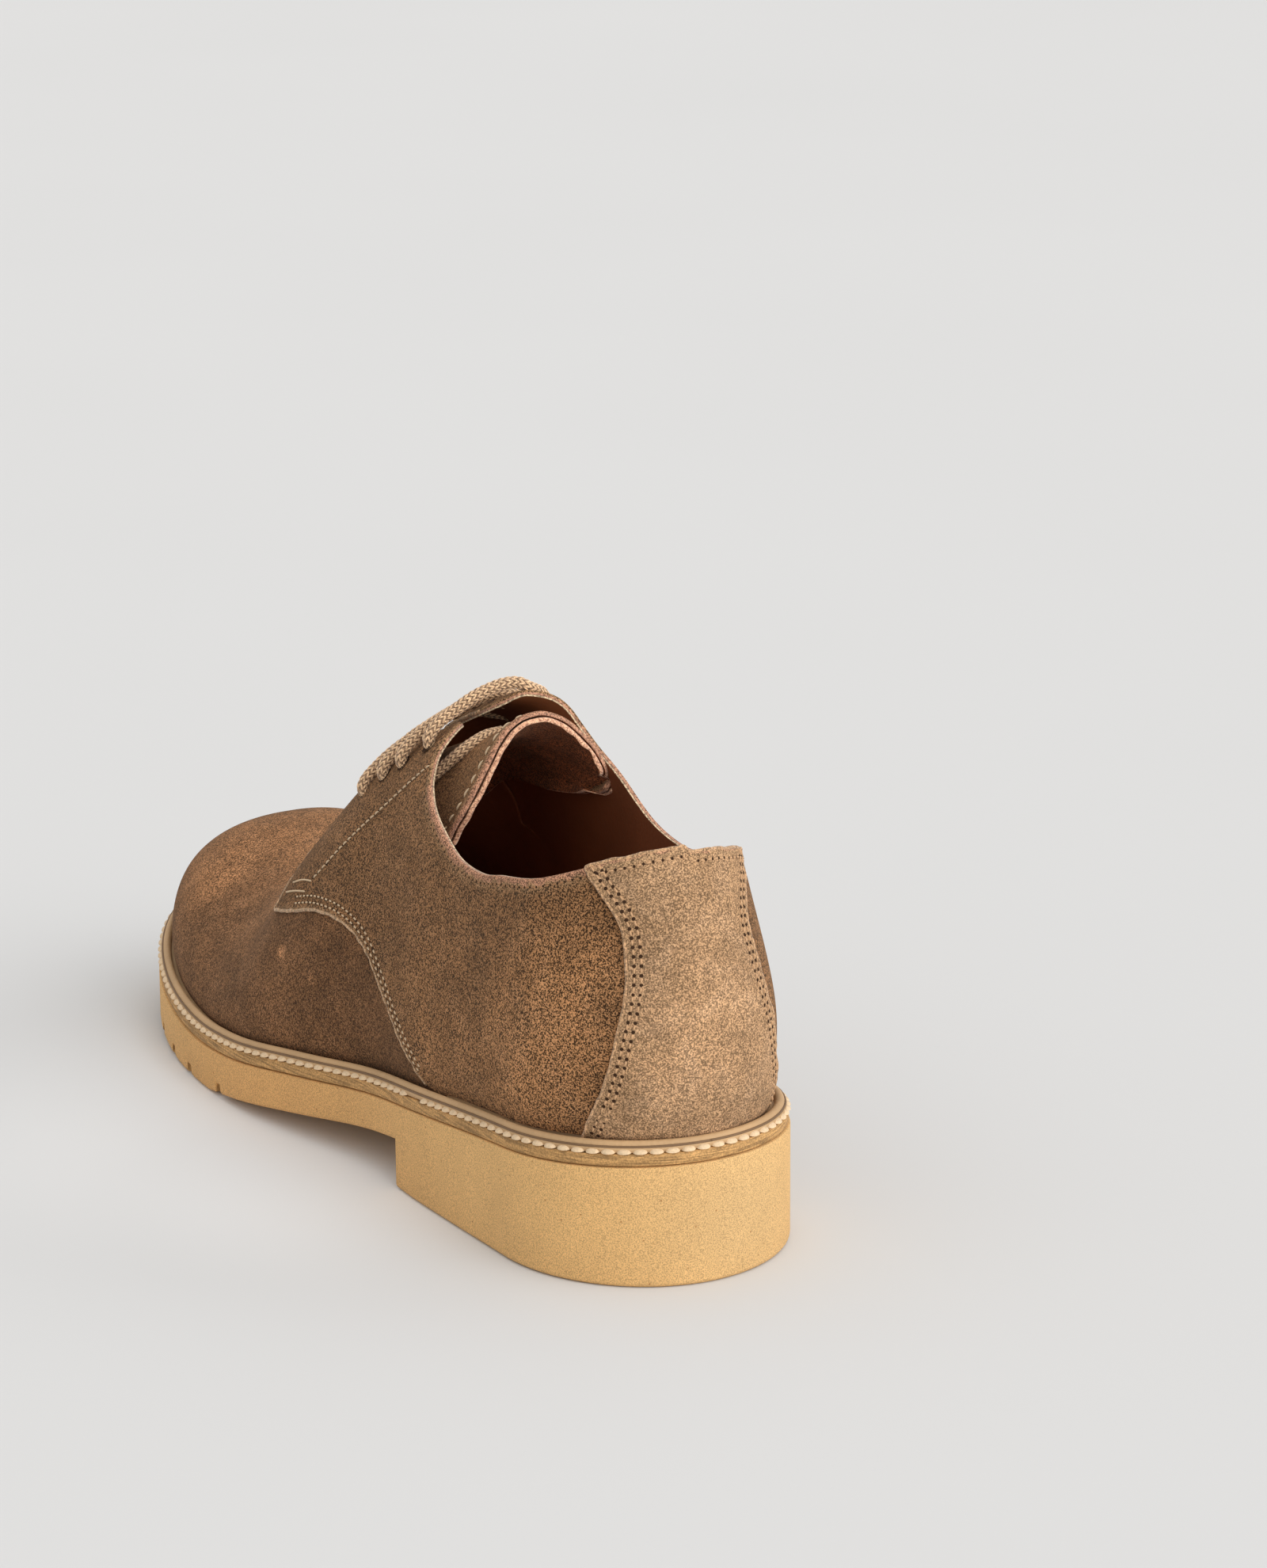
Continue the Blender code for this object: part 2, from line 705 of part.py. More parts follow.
def smooth_route(knots, steps):
    """Points along a smooth curve through the knots."""
    ends = [knots[0] * 2 - knots[1]] + list(knots) + [knots[-1] * 2 - knots[-2]]
    points = []
    for a, b, c, d in zip(ends, ends[1:], ends[2:], ends[3:]):
        for i in range(steps):
            t = i / steps
            points.append(0.5 * (2 * b + (c - a) * t + (2 * a - 5 * b + 4 * c - d) * t ** 2
                                 + (3 * b - 3 * c + d - a) * t ** 3))
    points.append(knots[-1])
    return points


def main():
    clear_scene()
    shoe = collection("shoe")
    guides = collection("guides")
    make_outsole(shoe, guides)
    make_midsole(shoe)
    make_welt(shoe)
    make_insole(shoe)
    make_upper(shoe, guides)
    make_counter(shoe)
    make_tongue(shoe)
    for number, bar in enumerate(LACE_BARS, 1):
        make_lace_bar(number, bar, shoe)


main()
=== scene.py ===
"""Looks for the suede derby shoe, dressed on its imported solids.

The shoe's forms follow the same last and the same named sizes as the solids, read
at a much finer step. A place on the last has two shares: place runs from the heel
(0) to the toe (1) and turn from the feather edge (0) over the ridge (1) to the
inner feather edge (2). A negative place starts from the inner side instead, so a
panel can also run round the back of the heel.
"""
import json
import math
from collections import namedtuple

import bmesh
import bpy
import numpy as np
from mathutils import Matrix, Vector
from mathutils.bvhtree import BVHTree

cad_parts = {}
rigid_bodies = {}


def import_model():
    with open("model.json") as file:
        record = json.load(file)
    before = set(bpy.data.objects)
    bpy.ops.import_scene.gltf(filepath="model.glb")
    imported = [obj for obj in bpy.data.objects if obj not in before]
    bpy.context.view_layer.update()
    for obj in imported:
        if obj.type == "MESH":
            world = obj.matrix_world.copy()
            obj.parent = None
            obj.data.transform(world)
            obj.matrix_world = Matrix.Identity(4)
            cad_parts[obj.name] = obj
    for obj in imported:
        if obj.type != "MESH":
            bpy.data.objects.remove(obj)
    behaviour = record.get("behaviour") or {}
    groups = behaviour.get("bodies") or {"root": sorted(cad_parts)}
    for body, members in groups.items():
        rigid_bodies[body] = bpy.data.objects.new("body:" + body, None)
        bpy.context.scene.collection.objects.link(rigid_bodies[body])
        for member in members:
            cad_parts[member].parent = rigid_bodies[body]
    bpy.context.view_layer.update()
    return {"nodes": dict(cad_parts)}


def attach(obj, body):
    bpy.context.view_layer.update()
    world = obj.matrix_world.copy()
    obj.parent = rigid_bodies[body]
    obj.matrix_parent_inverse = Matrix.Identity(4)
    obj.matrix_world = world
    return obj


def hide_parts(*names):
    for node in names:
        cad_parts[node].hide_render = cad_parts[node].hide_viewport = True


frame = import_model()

MM = 0.001


def table(fields, *rows):
    """Rows of numbers with named columns."""
    kind = namedtuple("Row", fields)
    return tuple(kind(*row) for row in rows)


# Driving dimensions of the solids, in metres
SOLE_LENGTH = 0.300
BALL_WIDTH = 0.103
HEEL_ROUND = 0.0435
TOE_ROUND_OUTER = 0.095
TOE_ROUND_INNER = 0.075
TOE_SWING = 0.0066
SWING_START = 0.60
HEEL_LENGTH = 0.104
HEEL_HEIGHT = 0.0334
TOE_SPRING = 0.0081
TOE_CURVE = 1.7
ARCH_HEIGHT = 0.0137
TREAD_START = 0.68
TREAD_END = 0.75
EDGE_CHAMFER = 0.0015
MIDSOLE_THICKNESS = 0.0033
WELT_THICKNESS = 0.0014
RIB_RADIUS = 0.0012
SOLE_MARGIN = 0.0046
WELT_DEPTH = 0.0098
INSOLE_THICKNESS = 0.0025
INSTEP_HEIGHT = 0.127
BACK_HEIGHT = 0.114
WALL = 0.0018
QUARTER_STEP = 0.0012
QUARTER_LAP = 0.0006
LASTED_STEP = 0.00035
STEP_RISE = 0.010
COUNTER_THICKNESS = 0.0012
LACE_DIAMETER = 0.004
EYELET_DIAMETER = 0.0042
GAP = 0.0003
RIB_CLEARANCE = 0.0009
INSOLE_CLEARANCE = 0.0007
SIDE_SHIFT = -0.0003
WELT_EDGE = 0.0008
WELT_JOIN = 0.31
MIDSOLE_EDGE = 0.0004

# Half widths of the sole as shares of the ball width
OUTLINE = table(
    "along outer inner",
    (0.145, 0.381, 0.401),
    (0.300, 0.394, 0.335),
    (0.420, 0.395, 0.345),
    (0.520, 0.455, 0.398),
    (0.600, 0.495, 0.446),
    (0.683, 0.505, 0.466),
)

# Top of the outsole as shares of the heel height
SOLE_TOP = table(
    "along top",
    (0.00, 1.000),
    (0.15, 0.905),
    (0.30, 0.766),
    (0.50, 0.551),
    (0.72, 0.386),
    (0.86, 0.500),
    (1.00, 0.754),
)

# The last: crest is the ridge's height above the feather edge as a share of the
# instep height, ridge its shift to the inner side as a share of the ball width,
# outer and inner are the fullness of the two flanks, swell how far they bulge
LAST = table(
    "along crest ridge outer inner swell",
    (0.00, 0.90, 0.000, 2.1, 2.0, 0.0020),
    (0.10, 0.93, 0.000, 2.1, 2.0, 0.0020),
    (0.20, 0.96, 0.005, 2.2, 2.1, 0.0018),
    (0.28, 0.87, 0.010, 2.3, 2.5, 0.0014),
    (0.34, 0.805, 0.015, 2.4, 2.8, 0.0012),
    (0.40, 0.765, 0.020, 2.5, 2.7, 0.0012),
    (0.46, 0.722, 0.025, 2.4, 2.5, 0.0014),
    (0.53, 0.656, 0.035, 2.15, 2.4, 0.0018),
    (0.60, 0.554, 0.045, 1.92, 2.3, 0.0022),
    (0.66, 0.441, 0.060, 1.75, 2.3, 0.0024),
    (0.72, 0.357, 0.070, 1.75, 2.3, 0.0022),
    (0.80, 0.313, 0.065, 1.95, 2.3, 0.0018),
    (0.88, 0.308, 0.035, 2.2, 2.3, 0.0014),
    (1.00, 0.270, 0.000, 2.4, 2.4, 0.0012),
)
SWELL_HEIGHT = 0.016
SWELL_START = 0.13
TOE_SWELL_START = 0.85
TOE_CLOSE = 0.80
TOE_FULLNESS = 2.4
BACK_REACH = 0.22

# The back seam: set is how far it stands in from the feather edge
BACK_SEAM = table(
    "height set",
    (0.30, 0.0000),
    (0.42, -0.0024),
    (0.55, -0.0038),
    (0.68, -0.0020),
    (0.82, 0.0038),
    (1.00, 0.0100),
    (1.40, 0.0230),
)

# The quarters, a row for each rib from the back seam (share 0) to the front edge
# (share 1): where the rib starts below and where it ends above
QUARTER = table(
    "share low_along low_turn top_along top_turn",
    (0.00, 0.000, 0.004, 0.000, 0.447),
    (0.10, 0.020, 0.004, 0.017, 0.430),
    (0.20, 0.060, 0.004, 0.057, 0.400),
    (0.30, 0.120, 0.004, 0.110, 0.366),
    (0.40, 0.180, 0.004, 0.171, 0.337),
    (0.48, 0.240, 0.004, 0.217, 0.330),
    (0.56, 0.297, 0.004, 0.271, 0.372),
    (0.62, 0.330, 0.036, 0.311, 0.440),
    (0.68, 0.366, 0.080, 0.348, 0.520),
    (0.73, 0.400, 0.135, 0.371, 0.590),
    (0.78, 0.430, 0.192, 0.390, 0.690),
    (0.83, 0.462, 0.240, 0.405, 0.830),
    (0.86, 0.485, 0.268, 0.424, 0.900),
    (0.89, 0.515, 0.298, 0.462, 0.900),
    (0.95, 0.568, 0.338, 0.535, 0.890),
    (1.00, 0.613, 0.384, 0.600, 0.850),
)
INNER_SHIFT = -0.030

# The counter's side edge, height is a share of the way up to the collar
COUNTER_EDGE = table(
    "height along",
    (0.00, 0.054),
    (0.12, 0.042),
    (0.35, 0.031),
    (0.60, 0.0235),
    (0.75, 0.0255),
    (0.90, 0.041),
    (1.00, 0.052),
)

# The tongue's free edge from its outer to its inner corner, in millimetres
FREE_EDGE = (
    (23.0, 44.5, 95.5),
    (21.6, 46.5, 100.5),
    (19.2, 49.0, 106.5),
    (13.6, 50.0, 117.0),
    (10.2, 50.0, 122.8),
    (7.0, 50.0, 126.6),
    (3.4, 50.0, 128.9),
    (0.0, 50.0, 129.8),
    (-4.0, 50.0, 129.9),
    (-8.5, 50.0, 128.4),
    (-13.0, 50.0, 125.6),
    (-19.0, 50.0, 119.5),
    (-22.5, 50.0, 114.5),
    (-24.5, 50.0, 109.5),
    (-23.0, 49.0, 105.0),
)
# The tongue, a row for each section from its free end (share 0) to the throat
TONGUE = table(
    "share along turn",
    (0.00, 0.332, 0.46),
    (0.20, 0.385, 0.51),
    (0.55, 0.490, 0.60),
    (1.00, 0.590, 0.70),
)

# The lace's eyelets as places (along, turn) on the outer and the inner facing, and
# how high each strand stands over the throat
STRANDS = table(
    "outer outer_turn inner inner_turn hump",
    (0.420, 0.732, 0.397, 0.835, 0.0040),
    (0.454, 0.684, 0.420, 0.780, 0.0012),
    (0.483, 0.662, 0.450, 0.760, 0.0008),
    (0.514, 0.634, 0.482, 0.740, 0.0004),
)
# Centre of the top strand between its two facings, in millimetres
TOP_STRAND = (
    (16.3, 22.0, 118.0),
    (14.2, 22.5, 121.6),
    (9.6, 23.6, 125.1),
    (3.6, 25.3, 129.1),
    (-3.0, 27.0, 131.7),
    (-7.6, 28.3, 132.1),
    (-10.8, 29.1, 130.6),
)
# How deep the tongue is pressed in at its middle, and how far to the side
TONGUE_SINK = 0.0030
TONGUE_SINK_SIDE = -0.15
# Centre of the strand that lies on the tongue under the outer facing
UNDER_STRAND = (
    (18.6, 23.5, 106.0),
    (15.0, 25.4, 109.6),
    (12.6, 27.0, 112.2),
    (10.2, 28.6, 114.8),
    (6.4, 29.2, 117.2),
    (1.6, 28.0, 118.4),
    (-4.4, 26.0, 118.2),
)
# Extra turn of the inner quarter's top edge: its facing meets the outer one
INNER_REACH = ((0.78, 0.0), (0.83, 0.035), (0.86, 0.095), (0.89, 0.125), (0.95, 0.125), (1.0, 0.08))
# How far the inner facing stands off the tongue, along the foot, in millimetres
FLAP_LIFT = ((0.30, 0.0), (0.375, 3.4), (0.44, 4.8), (0.50, 5.4), (0.54, 3.6), (0.575, 0.0))
# Places (along, turn) of the stitch line beside the eyelets and of the bar tacks
FACING_LINE = ((0.538, 0.393), (0.528, 0.406), (0.501, 0.446), (0.470, 0.489), (0.439, 0.534),
               (0.407, 0.589), (0.383, 0.630))
TACKS = (
    ((0.587, 0.432), (0.562, 0.412), (0.540, 0.388)),
    ((0.594, 0.412), (0.570, 0.390), (0.546, 0.366)),
)
# Notches in the sole's edge, as shares of the length
GROOVES = (0.655, 0.73, 0.785, 0.84, 0.90, 0.96)
GROOVE_WIDTH = 0.0035
GROOVE_DEPTH = 0.0026
GROOVE_REACH = 0.012
# Half the length over which a groove's wall rises
GROOVE_STEP = 0.0002
# Shares of the length over which the quarters and the counter end at the feather
QUARTER_ENDS = (0.28, 0.34)
COUNTER_ENDS = (0.05, 0.12)
# The welt's lower and upper corner, how much taller than round its rib is, and the
# dark roll of painted shade in the groove at the rib's foot
WELT_CORNERS = (0.0002, 0.0003)
RIB_SHAPE = 1.3
WELT_GROOVE_RADIUS = 0.00036
# How far in the midsole's rings keep to its outline
MIDSOLE_RIM = 0.010

# The vamp's rear edge on the last as (turn, along)
VAMP_REAR = (
    (0.00, 0.265),
    (0.10, 0.335),
    (0.20, 0.395),
    (0.30, 0.460),
    (0.38, 0.530),
    (0.46, 0.580),
    (0.60, 0.590),
    (1.00, 0.590),
)
VAMP_REAR_WALL = 0.0005

# Small corner of the sole's layers, round of a cut edge and how far the edge bulges,
# as shares of its depth at three places
CORNER = 0.0004
CUT_ROUND = 0.0008
TONGUE_ROUND = 0.0007
EDGE_BULGE = ((0.25, 0.16), (0.5, 0.20), (0.75, 0.16))
# The fine roll along a cut edge: its radius and how deep its centre lies
CUT_RADIUS = 0.00055
CUT_SINK = 0.00050
# Leather layers that the solids don't tell apart
LAYER_GAP = 0.00004
QUARTER_FACE = 0.0013
TONGUE_FACE = 0.0014
TONGUE_BACK = 0.0013
SOCK_THICKNESS = 0.0008

# Rows of stitches: hole is the radius of the needle's hole, drawn as a dark disc of painted shade
Stitch = namedtuple("Stitch", "pitch length radius hole")
COUNTER_STITCH = Stitch(2.4 * MM, 1.5 * MM, 0.30 * MM, 0.52 * MM)
COUNTER_TOP_STITCH = Stitch(2.4 * MM, 1.5 * MM, 0.28 * MM, 0.42 * MM)
SEAM_STITCH = Stitch(2.2 * MM, 1.25 * MM, 0.27 * MM, 0.34 * MM)
COLLAR_STITCH = Stitch(2.3 * MM, 1.3 * MM, 0.24 * MM, 0.34 * MM)
FACING_STITCH = Stitch(2.4 * MM, 1.9 * MM, 0.26 * MM, 0.25 * MM)
TACK_STITCH = Stitch(1.4 * MM, 1.2 * MM, 0.30 * MM, None)
TONGUE_STITCH = Stitch(4.2 * MM, 2.8 * MM, 0.34 * MM, None)
WELT_BEAD = Stitch(4.2 * MM, 3.8 * MM, 1.3 * MM, None)
# Distances of the rows from the edges that they follow
COUNTER_ROWS = (2.0 * MM, 3.9 * MM)
COUNTER_TOP_ROW = 2.6 * MM
SEAM_ROWS = (1.9 * MM, 3.8 * MM)
COLLAR_ROW = 2.3 * MM
TONGUE_ROW = 3.5 * MM

# The braided cord; the braid's lay is the length of one of its chevrons
CORD_RADIUS = LACE_DIAMETER / 2 * 0.9
CORD_STRANDS = 6
CORD_SIDES = 54
CORD_SPACING = 0.00022
BRAID_LAY = 0.0017
EYELET_SIDES = 20
EYELET_REACH = EYELET_DIAMETER * 0.62
# How many slow waves make a surface uneven
WAVES = 7
# The core of the shoe, from which outward directions are told
CORE_REACH = 0.10
CORE_HEIGHT = 0.045


def unit(ways):
    """Directions at a length of one."""
    return ways / np.maximum(np.linalg.norm(ways, axis=-1, keepdims=True), 1e-12)


def run_along(route):
    """Distance of each point of a route from its start, along the route."""
    return np.concatenate([[0], np.cumsum(np.linalg.norm(np.diff(route, axis=0), axis=1))])


def at_run(at, run, values):
    """Points or directions of a route at distances along it."""
    return np.stack([np.interp(at, run, values[:, k]) for k in range(3)], -1)


def relax(route, times):
    """Smooths a route in place and keeps its ends."""
    for _ in range(times):
        route[1:-1] = (route[:-2] + 2 * route[1:-1] + route[2:]) / 4


def linear(rows, at):
    """Straight steps between the rows of a table of pairs."""
    return np.interp(at, *zip(*rows))


def fade(distance, width):
    """1 at no distance, falling off softly over a width."""
    return np.exp(-(distance / width) ** 2)


def read(rows, column, at):
    """Smooth value of one column of a table at a place given by its first column."""
    at = np.asarray(at, float)
    xs = np.array([row[0] for row in rows])
    ys = np.array([getattr(row, column) for row in rows])
    slope = np.gradient(ys, xs)
    span = np.clip(np.searchsorted(xs, at, side="right") - 1, 0, len(xs) - 2)
    width = xs[span + 1] - xs[span]
    f = np.clip((at - xs[span]) / width, 0.0, 1.0)
    return ((1 + 2 * f) * (1 - f) ** 2 * ys[span] + f * (1 - f) ** 2 * width * slope[span]
            + f * f * (3 - 2 * f) * ys[span + 1] - f * f * (1 - f) * width * slope[span + 1])


def ease(value, start, end):
    """Smooth step from 0 at start to 1 at end."""
    f = np.clip((np.asarray(value, float) - start) / (end - start), 0.0, 1.0)
    return f * f * (3 - 2 * f)


def station(place):
    """Share of the length for a place from 0 (heel) to 1 (toe), crowded at both ends."""
    return (1 - np.cos(np.pi * np.abs(np.asarray(place, float)))) / 2


def place_of(along):
    """The place whose station is this share of the length."""
    return np.arccos(np.clip(1 - 2 * np.asarray(along, float), -1, 1)) / np.pi


def full_width(along, outer):
    """Half width of the sole before its ends are rounded; outer picks the side."""
    return np.where(outer, read(OUTLINE, "outer", along), read(OUTLINE, "inner", along)) * BALL_WIDTH


def half_width(along, outer):
    """Half width of the sole outline."""
    along = np.asarray(along, float)
    toe_end = 1 - np.where(outer, TOE_ROUND_OUTER, TOE_ROUND_INNER) / SOLE_LENGTH
    heel_end = HEEL_ROUND / SOLE_LENGTH
    heel = np.clip((heel_end - along) / heel_end, 0, 1)
    toe = np.clip((along - toe_end) / (1 - toe_end), 0, 1)
    toe_part = (1 - toe ** TOE_FULLNESS) ** (1 / TOE_FULLNESS)
    return full_width(along, outer) * np.sqrt(1 - heel ** 2) * toe_part


def swing(along):
    """The centre line: the toe turns to the inner side."""
    return SIDE_SHIFT - TOE_SWING * ease(along, SWING_START, 1.0)


def sole_top(along):
    return read(SOLE_TOP, "top", along) * HEEL_HEIGHT


def feather_height(along):
    return sole_top(along) + MIDSOLE_THICKNESS + WELT_THICKNESS + 3 * GAP


def layer_depth(share):
    """How far the quarter and the counter stand out from the last at the feather."""
    quarter = LASTED_STEP * (1 - ease(share, *QUARTER_ENDS))
    counter = (GAP + COUNTER_THICKNESS) * (1 - ease(share, *COUNTER_ENDS))
    return quarter + counter


def feather_inset(share):
    """From the sole's edge in to the last, behind the layers of the upper."""
    return SOLE_MARGIN + layer_depth(share)


def along_sole(share):
    """Where a section of the last stands on the sole, which is longer than it."""
    heel = feather_inset(0.0) / SOLE_LENGTH
    toe = feather_inset(1.0) / SOLE_LENGTH
    return heel + share * (1 - heel - toe)


def length_share(y):
    """Share of the sole's length, from the heel, at a place on the Y axis."""
    return 0.5 - y / SOLE_LENGTH


def last_point(place, turn):
    """Points on the last for signed places and turns from 0 to 2."""
    place, turn = np.broadcast_arrays(np.asarray(place, float), np.asarray(turn, float))
    outer = (place >= 0) == (turn <= 1)
    turn = np.where(turn > 1, 2 - turn, turn)
    share = station(place)
    along = along_sole(share)
    width = half_width(share, outer) * (1 - feather_inset(share) / full_width(share, outer))
    full = np.where(outer, read(LAST, "outer", share), read(LAST, "inner", share))
    close = np.clip((share - TOE_CLOSE) / (1 - TOE_CLOSE), 0, 1)
    toe_part = (1 - close ** TOE_FULLNESS) ** (1 / TOE_FULLNESS)
    tall = read(LAST, "crest", share) * INSTEP_HEIGHT * toe_part
    angle = np.clip(turn, 0, 1) * np.pi / 2
    rise = tall * np.sin(angle) ** (2 / full)
    high = rise / SWELL_HEIGHT
    bulge = read(LAST, "swell", share) * high * np.exp(1 - high)
    heel_part = np.sqrt(1 - np.clip((SWELL_START - share) / SWELL_START, 0, 1) ** 2)
    reach = (width + bulge * heel_part * toe_part) * np.clip(np.cos(angle), 0, 1) ** (2 / full)
    ridge = -read(LAST, "ridge", share) * BALL_WIDTH * np.sin(angle) ** 2
    z = feather_height(along) + rise
    back = read(BACK_SEAM, "set", z / BACK_HEIGHT) - read(BACK_SEAM, "set", BACK_SEAM[0].height)
    y = SOLE_LENGTH * (0.5 - along) - back * (1 - ease(share, 0.0, BACK_REACH))
    y = y - bulge * ease(share, TOE_SWELL_START, 1.0) * np.cos(angle)
    x = np.where(outer, reach, -reach) + ridge + swing(along)
    return np.stack([x, y, z], -1)


def last_normal(place, turn):
    """Outward directions on the last."""
    step = 0.002
    place, turn = np.broadcast_arrays(np.asarray(place, float), np.asarray(turn, float))
    ahead = np.clip(place + step, -0.999, 0.999)
    behind = np.clip(place - step, -0.999, 0.999)
    above = np.clip(turn + step, 0.001, 1.999)
    below = np.clip(turn - step, 0.001, 1.999)
    along = last_point(ahead, turn) - last_point(behind, turn)
    return unit(-np.cross(along, last_point(place, above) - last_point(place, below)))


def flap_lift(place, turn):
    """The inner facing is pulled up off the tongue, most below the ridge."""
    rise = linear(FLAP_LIFT, station(place)) * MM
    rise = rise * ease(turn, 0.48, 0.84) * (1 - 0.75 * ease(turn, 0.93, 1.04))
    return np.where(np.asarray(place) < 0, rise, 0.0)


def quarter_proud(spots):
    """How far the quarter's outer face stands out from the last at points on it."""
    rise = spots[..., 2] - feather_height(length_share(spots[..., 1]))
    return LASTED_STEP + (QUARTER_STEP - LASTED_STEP) * ease(rise, 0.0, STEP_RISE)


# Materials

def shader(name, rough, sheen=0.0, sheen_tint=(1, 1, 1), specular=0.5):
    """A new material, its shader's even values set, and a kit for the rest."""
    made = bpy.data.materials.new(name)
    made.use_nodes = True
    kit = Kit(made.node_tree, "Principled BSDF", "Object")
    kit.fill(kit.surface, Roughness=rough, Sheen_Weight=sheen, Sheen_Roughness=0.45,
             Sheen_Tint=(*sheen_tint, 1), Specular_IOR_Level=specular)
    return made, kit


def shared(make, name, *settings):
    """A material that several pieces share, made at its first use."""
    return bpy.data.materials.get(name) or make(name, *settings)


def rgb(tint):
    """A colour, also from a single grey value."""
    return tint if isinstance(tint, tuple) else (tint, tint, tint)


class Kit:
    """Short calls that add and join shader nodes."""

    def __init__(self, tree, surface, place):
        self.tree = tree
        self.surface = tree.nodes[surface]
        self.place = self.add("ShaderNodeTexCoord").outputs[place]

    def add(self, kind, **settings):
        node = self.tree.nodes.new(kind)
        for key, value in settings.items():
            setattr(node, key, value)
        return node

    def link(self, source, target):
        if hasattr(source, "is_linked"):
            self.tree.links.new(source, target)
        else:
            target.default_value = source

    def fill(self, node, **values):
        """Sets or joins the inputs of a node by name, with _ for a space."""
        for key, value in values.items():
            self.link(value, node.inputs[key.replace("_", " ")])
        return node

    def stretch(self, scale):
        node = self.fill(self.add("ShaderNodeMapping"), Scale=scale, Vector=self.place)
        return node.outputs["Vector"]

    def noise(self, scale, detail=2.0, rough=0.5, vector=None, distortion=0.0):
        node = self.fill(self.add("ShaderNodeTexNoise"), Scale=scale, Detail=detail, Roughness=rough,
                         Distortion=distortion, Vector=vector or self.place)
        return node.outputs["Fac"]

    def cells(self, scale):
        node = self.fill(self.add("ShaderNodeTexVoronoi"), Scale=scale, Vector=self.place)
        return node.outputs["Distance"]

    def ramp(self, value, *stops):
        """Colour or grey ramp; each stop is (place, colour)."""
        node = self.add("ShaderNodeValToRGB")
        marks = node.color_ramp.elements
        while len(marks) < len(stops):
            marks.new(0.5)
        for mark, (place, colour) in zip(marks, stops):
            mark.position = place
            mark.color = (*rgb(colour), 1)
        self.link(value, node.inputs["Fac"])
        return node.outputs["Color"]

    def speckle(self, value, base, dark, light, half=0.12):
        """The base colour at the middle of a noise, darker below it and lighter above."""
        return self.ramp(value, (0.50 - half, tone(base, dark)), (0.50, base),
                         (0.50 + half, tone(base, light)))

    def mix(self, a, b, share, blend="MIX"):
        node = self.add("ShaderNodeMix", data_type="RGBA", blend_type=blend)
        for source, socket in ((share, node.inputs[0]), (a, node.inputs[6]), (b, node.inputs[7])):
            if isinstance(source, tuple):
                source = (*source, 1)
            self.link(source, socket)
        return node.outputs[2]

    def times(self, colour, other):
        return self.mix(colour, other, 1.0, "MULTIPLY")

    def wear_and_light_spots(self, colour, spots):
        """The colour times a tint around points; each spot is (centre, radius, tint). Some spots are real
        wear, the others painted highlight and painted shade.
        """
        for centre, radius, tint in spots:
            colour = self.times(colour, self.mix(rgb(1.0), rgb(tint), self.near(centre, radius)))
        return colour

    def sums(self, kind, *values):
        node = self.add("ShaderNodeMath", operation=kind)
        for value, socket in zip(values, node.inputs):
            self.link(value, socket)
        return node.outputs[0]

    def vectors(self, kind, a, b):
        node = self.add("ShaderNodeVectorMath", operation=kind)
        self.link(a, node.inputs[0])
        self.link(b, node.inputs[1])
        return node.outputs["Value"]

    def attribute(self, name):
        return self.add("ShaderNodeAttribute", attribute_name=name).outputs["Fac"]

    def near(self, centre, radius):
        """1 at a point of the object, fading to 0 at a radius from it."""
        node = self.add("ShaderNodeMapRange", interpolation_type="SMOOTHSTEP")
        gap = self.vectors("DISTANCE", self.place, centre)
        self.fill(node, Value=gap, From_Min=0.0, From_Max=radius, To_Min=1.0, To_Max=0.0)
        return node.outputs["Result"]

    def bump(self, height, distance, strength):
        node = self.fill(self.add("ShaderNodeBump"), Height=height, Distance=distance, Strength=strength)
        return node.outputs["Normal"]

    def finish(self, colour, normal=None):
        self.link(colour, self.surface.inputs["Base Color"])
        if normal is not None:
            self.link(normal, self.surface.inputs["Normal"])


def tone(colour, share):
    return tuple(min(c * share, 1.0) for c in colour)


TAUPE = (0.190, 0.094, 0.040)
TAUPE_VAMP = (0.178, 0.085, 0.037)
GREIGE = (0.368, 0.220, 0.116)
RAW_EDGE = (0.46, 0.235, 0.145)
CUT_TAN = (0.40, 0.25, 0.135)
CREAM = (0.66, 0.49, 0.31)
# the dark of painted shade for needle holes and eyelet holes
HOLE_SHADE = (0.035, 0.018, 0.010)
LINING = (0.245, 0.075, 0.028)
HONEY = (0.755, 0.460, 0.185)
KHAKI = (0.56, 0.318, 0.118)
WELT_TAN = (0.56, 0.355, 0.18)
LACE_TAN = (0.70, 0.440, 0.260)
CUT_PALE = (0.50, 0.315, 0.17)
# colour of the painted light on the lining in the throat
LIT_LINING = (0.52, 0.21, 0.09)
GROOVE_SHADE = (0.20, 0.115, 0.055)
# Spots (centre, radius, tint) that make a material paler or darker
VAMP_WEAR_AND_HIGHLIGHTS = (
    # painted highlight on the top of the vamp and on its outer side towards the toe
    ((0.000, -0.080, 0.075), 0.075, 2.2),
    ((0.030, -0.110, 0.060), 0.034, 1.55),
    # small pale worn marks
    ((0.0428, -0.0186, 0.0493), 0.0034, 2.1),
    ((0.0428, -0.0195, 0.0505), 0.0028, 1.6),
    ((0.0414, -0.0021, 0.0466), 0.0030, 1.8),
    # a darker patch on the outer side
    ((0.040, -0.040, 0.050), 0.018, 0.85),
)
QUARTER_HIGHLIGHT_AND_TINTS = (
    # painted highlight on the outer quarter towards the heel
    ((0.036, 0.118, 0.060), 0.050, 1.75),
    # paler and darker patches
    ((0.040, 0.060, 0.045), 0.035, 1.30),
    ((0.036, 0.075, 0.075), 0.012, 1.25),
    ((0.036, 0.100, 0.052), 0.012, 0.78),
    ((0.034, 0.103, 0.074), 0.030, 0.84),
)
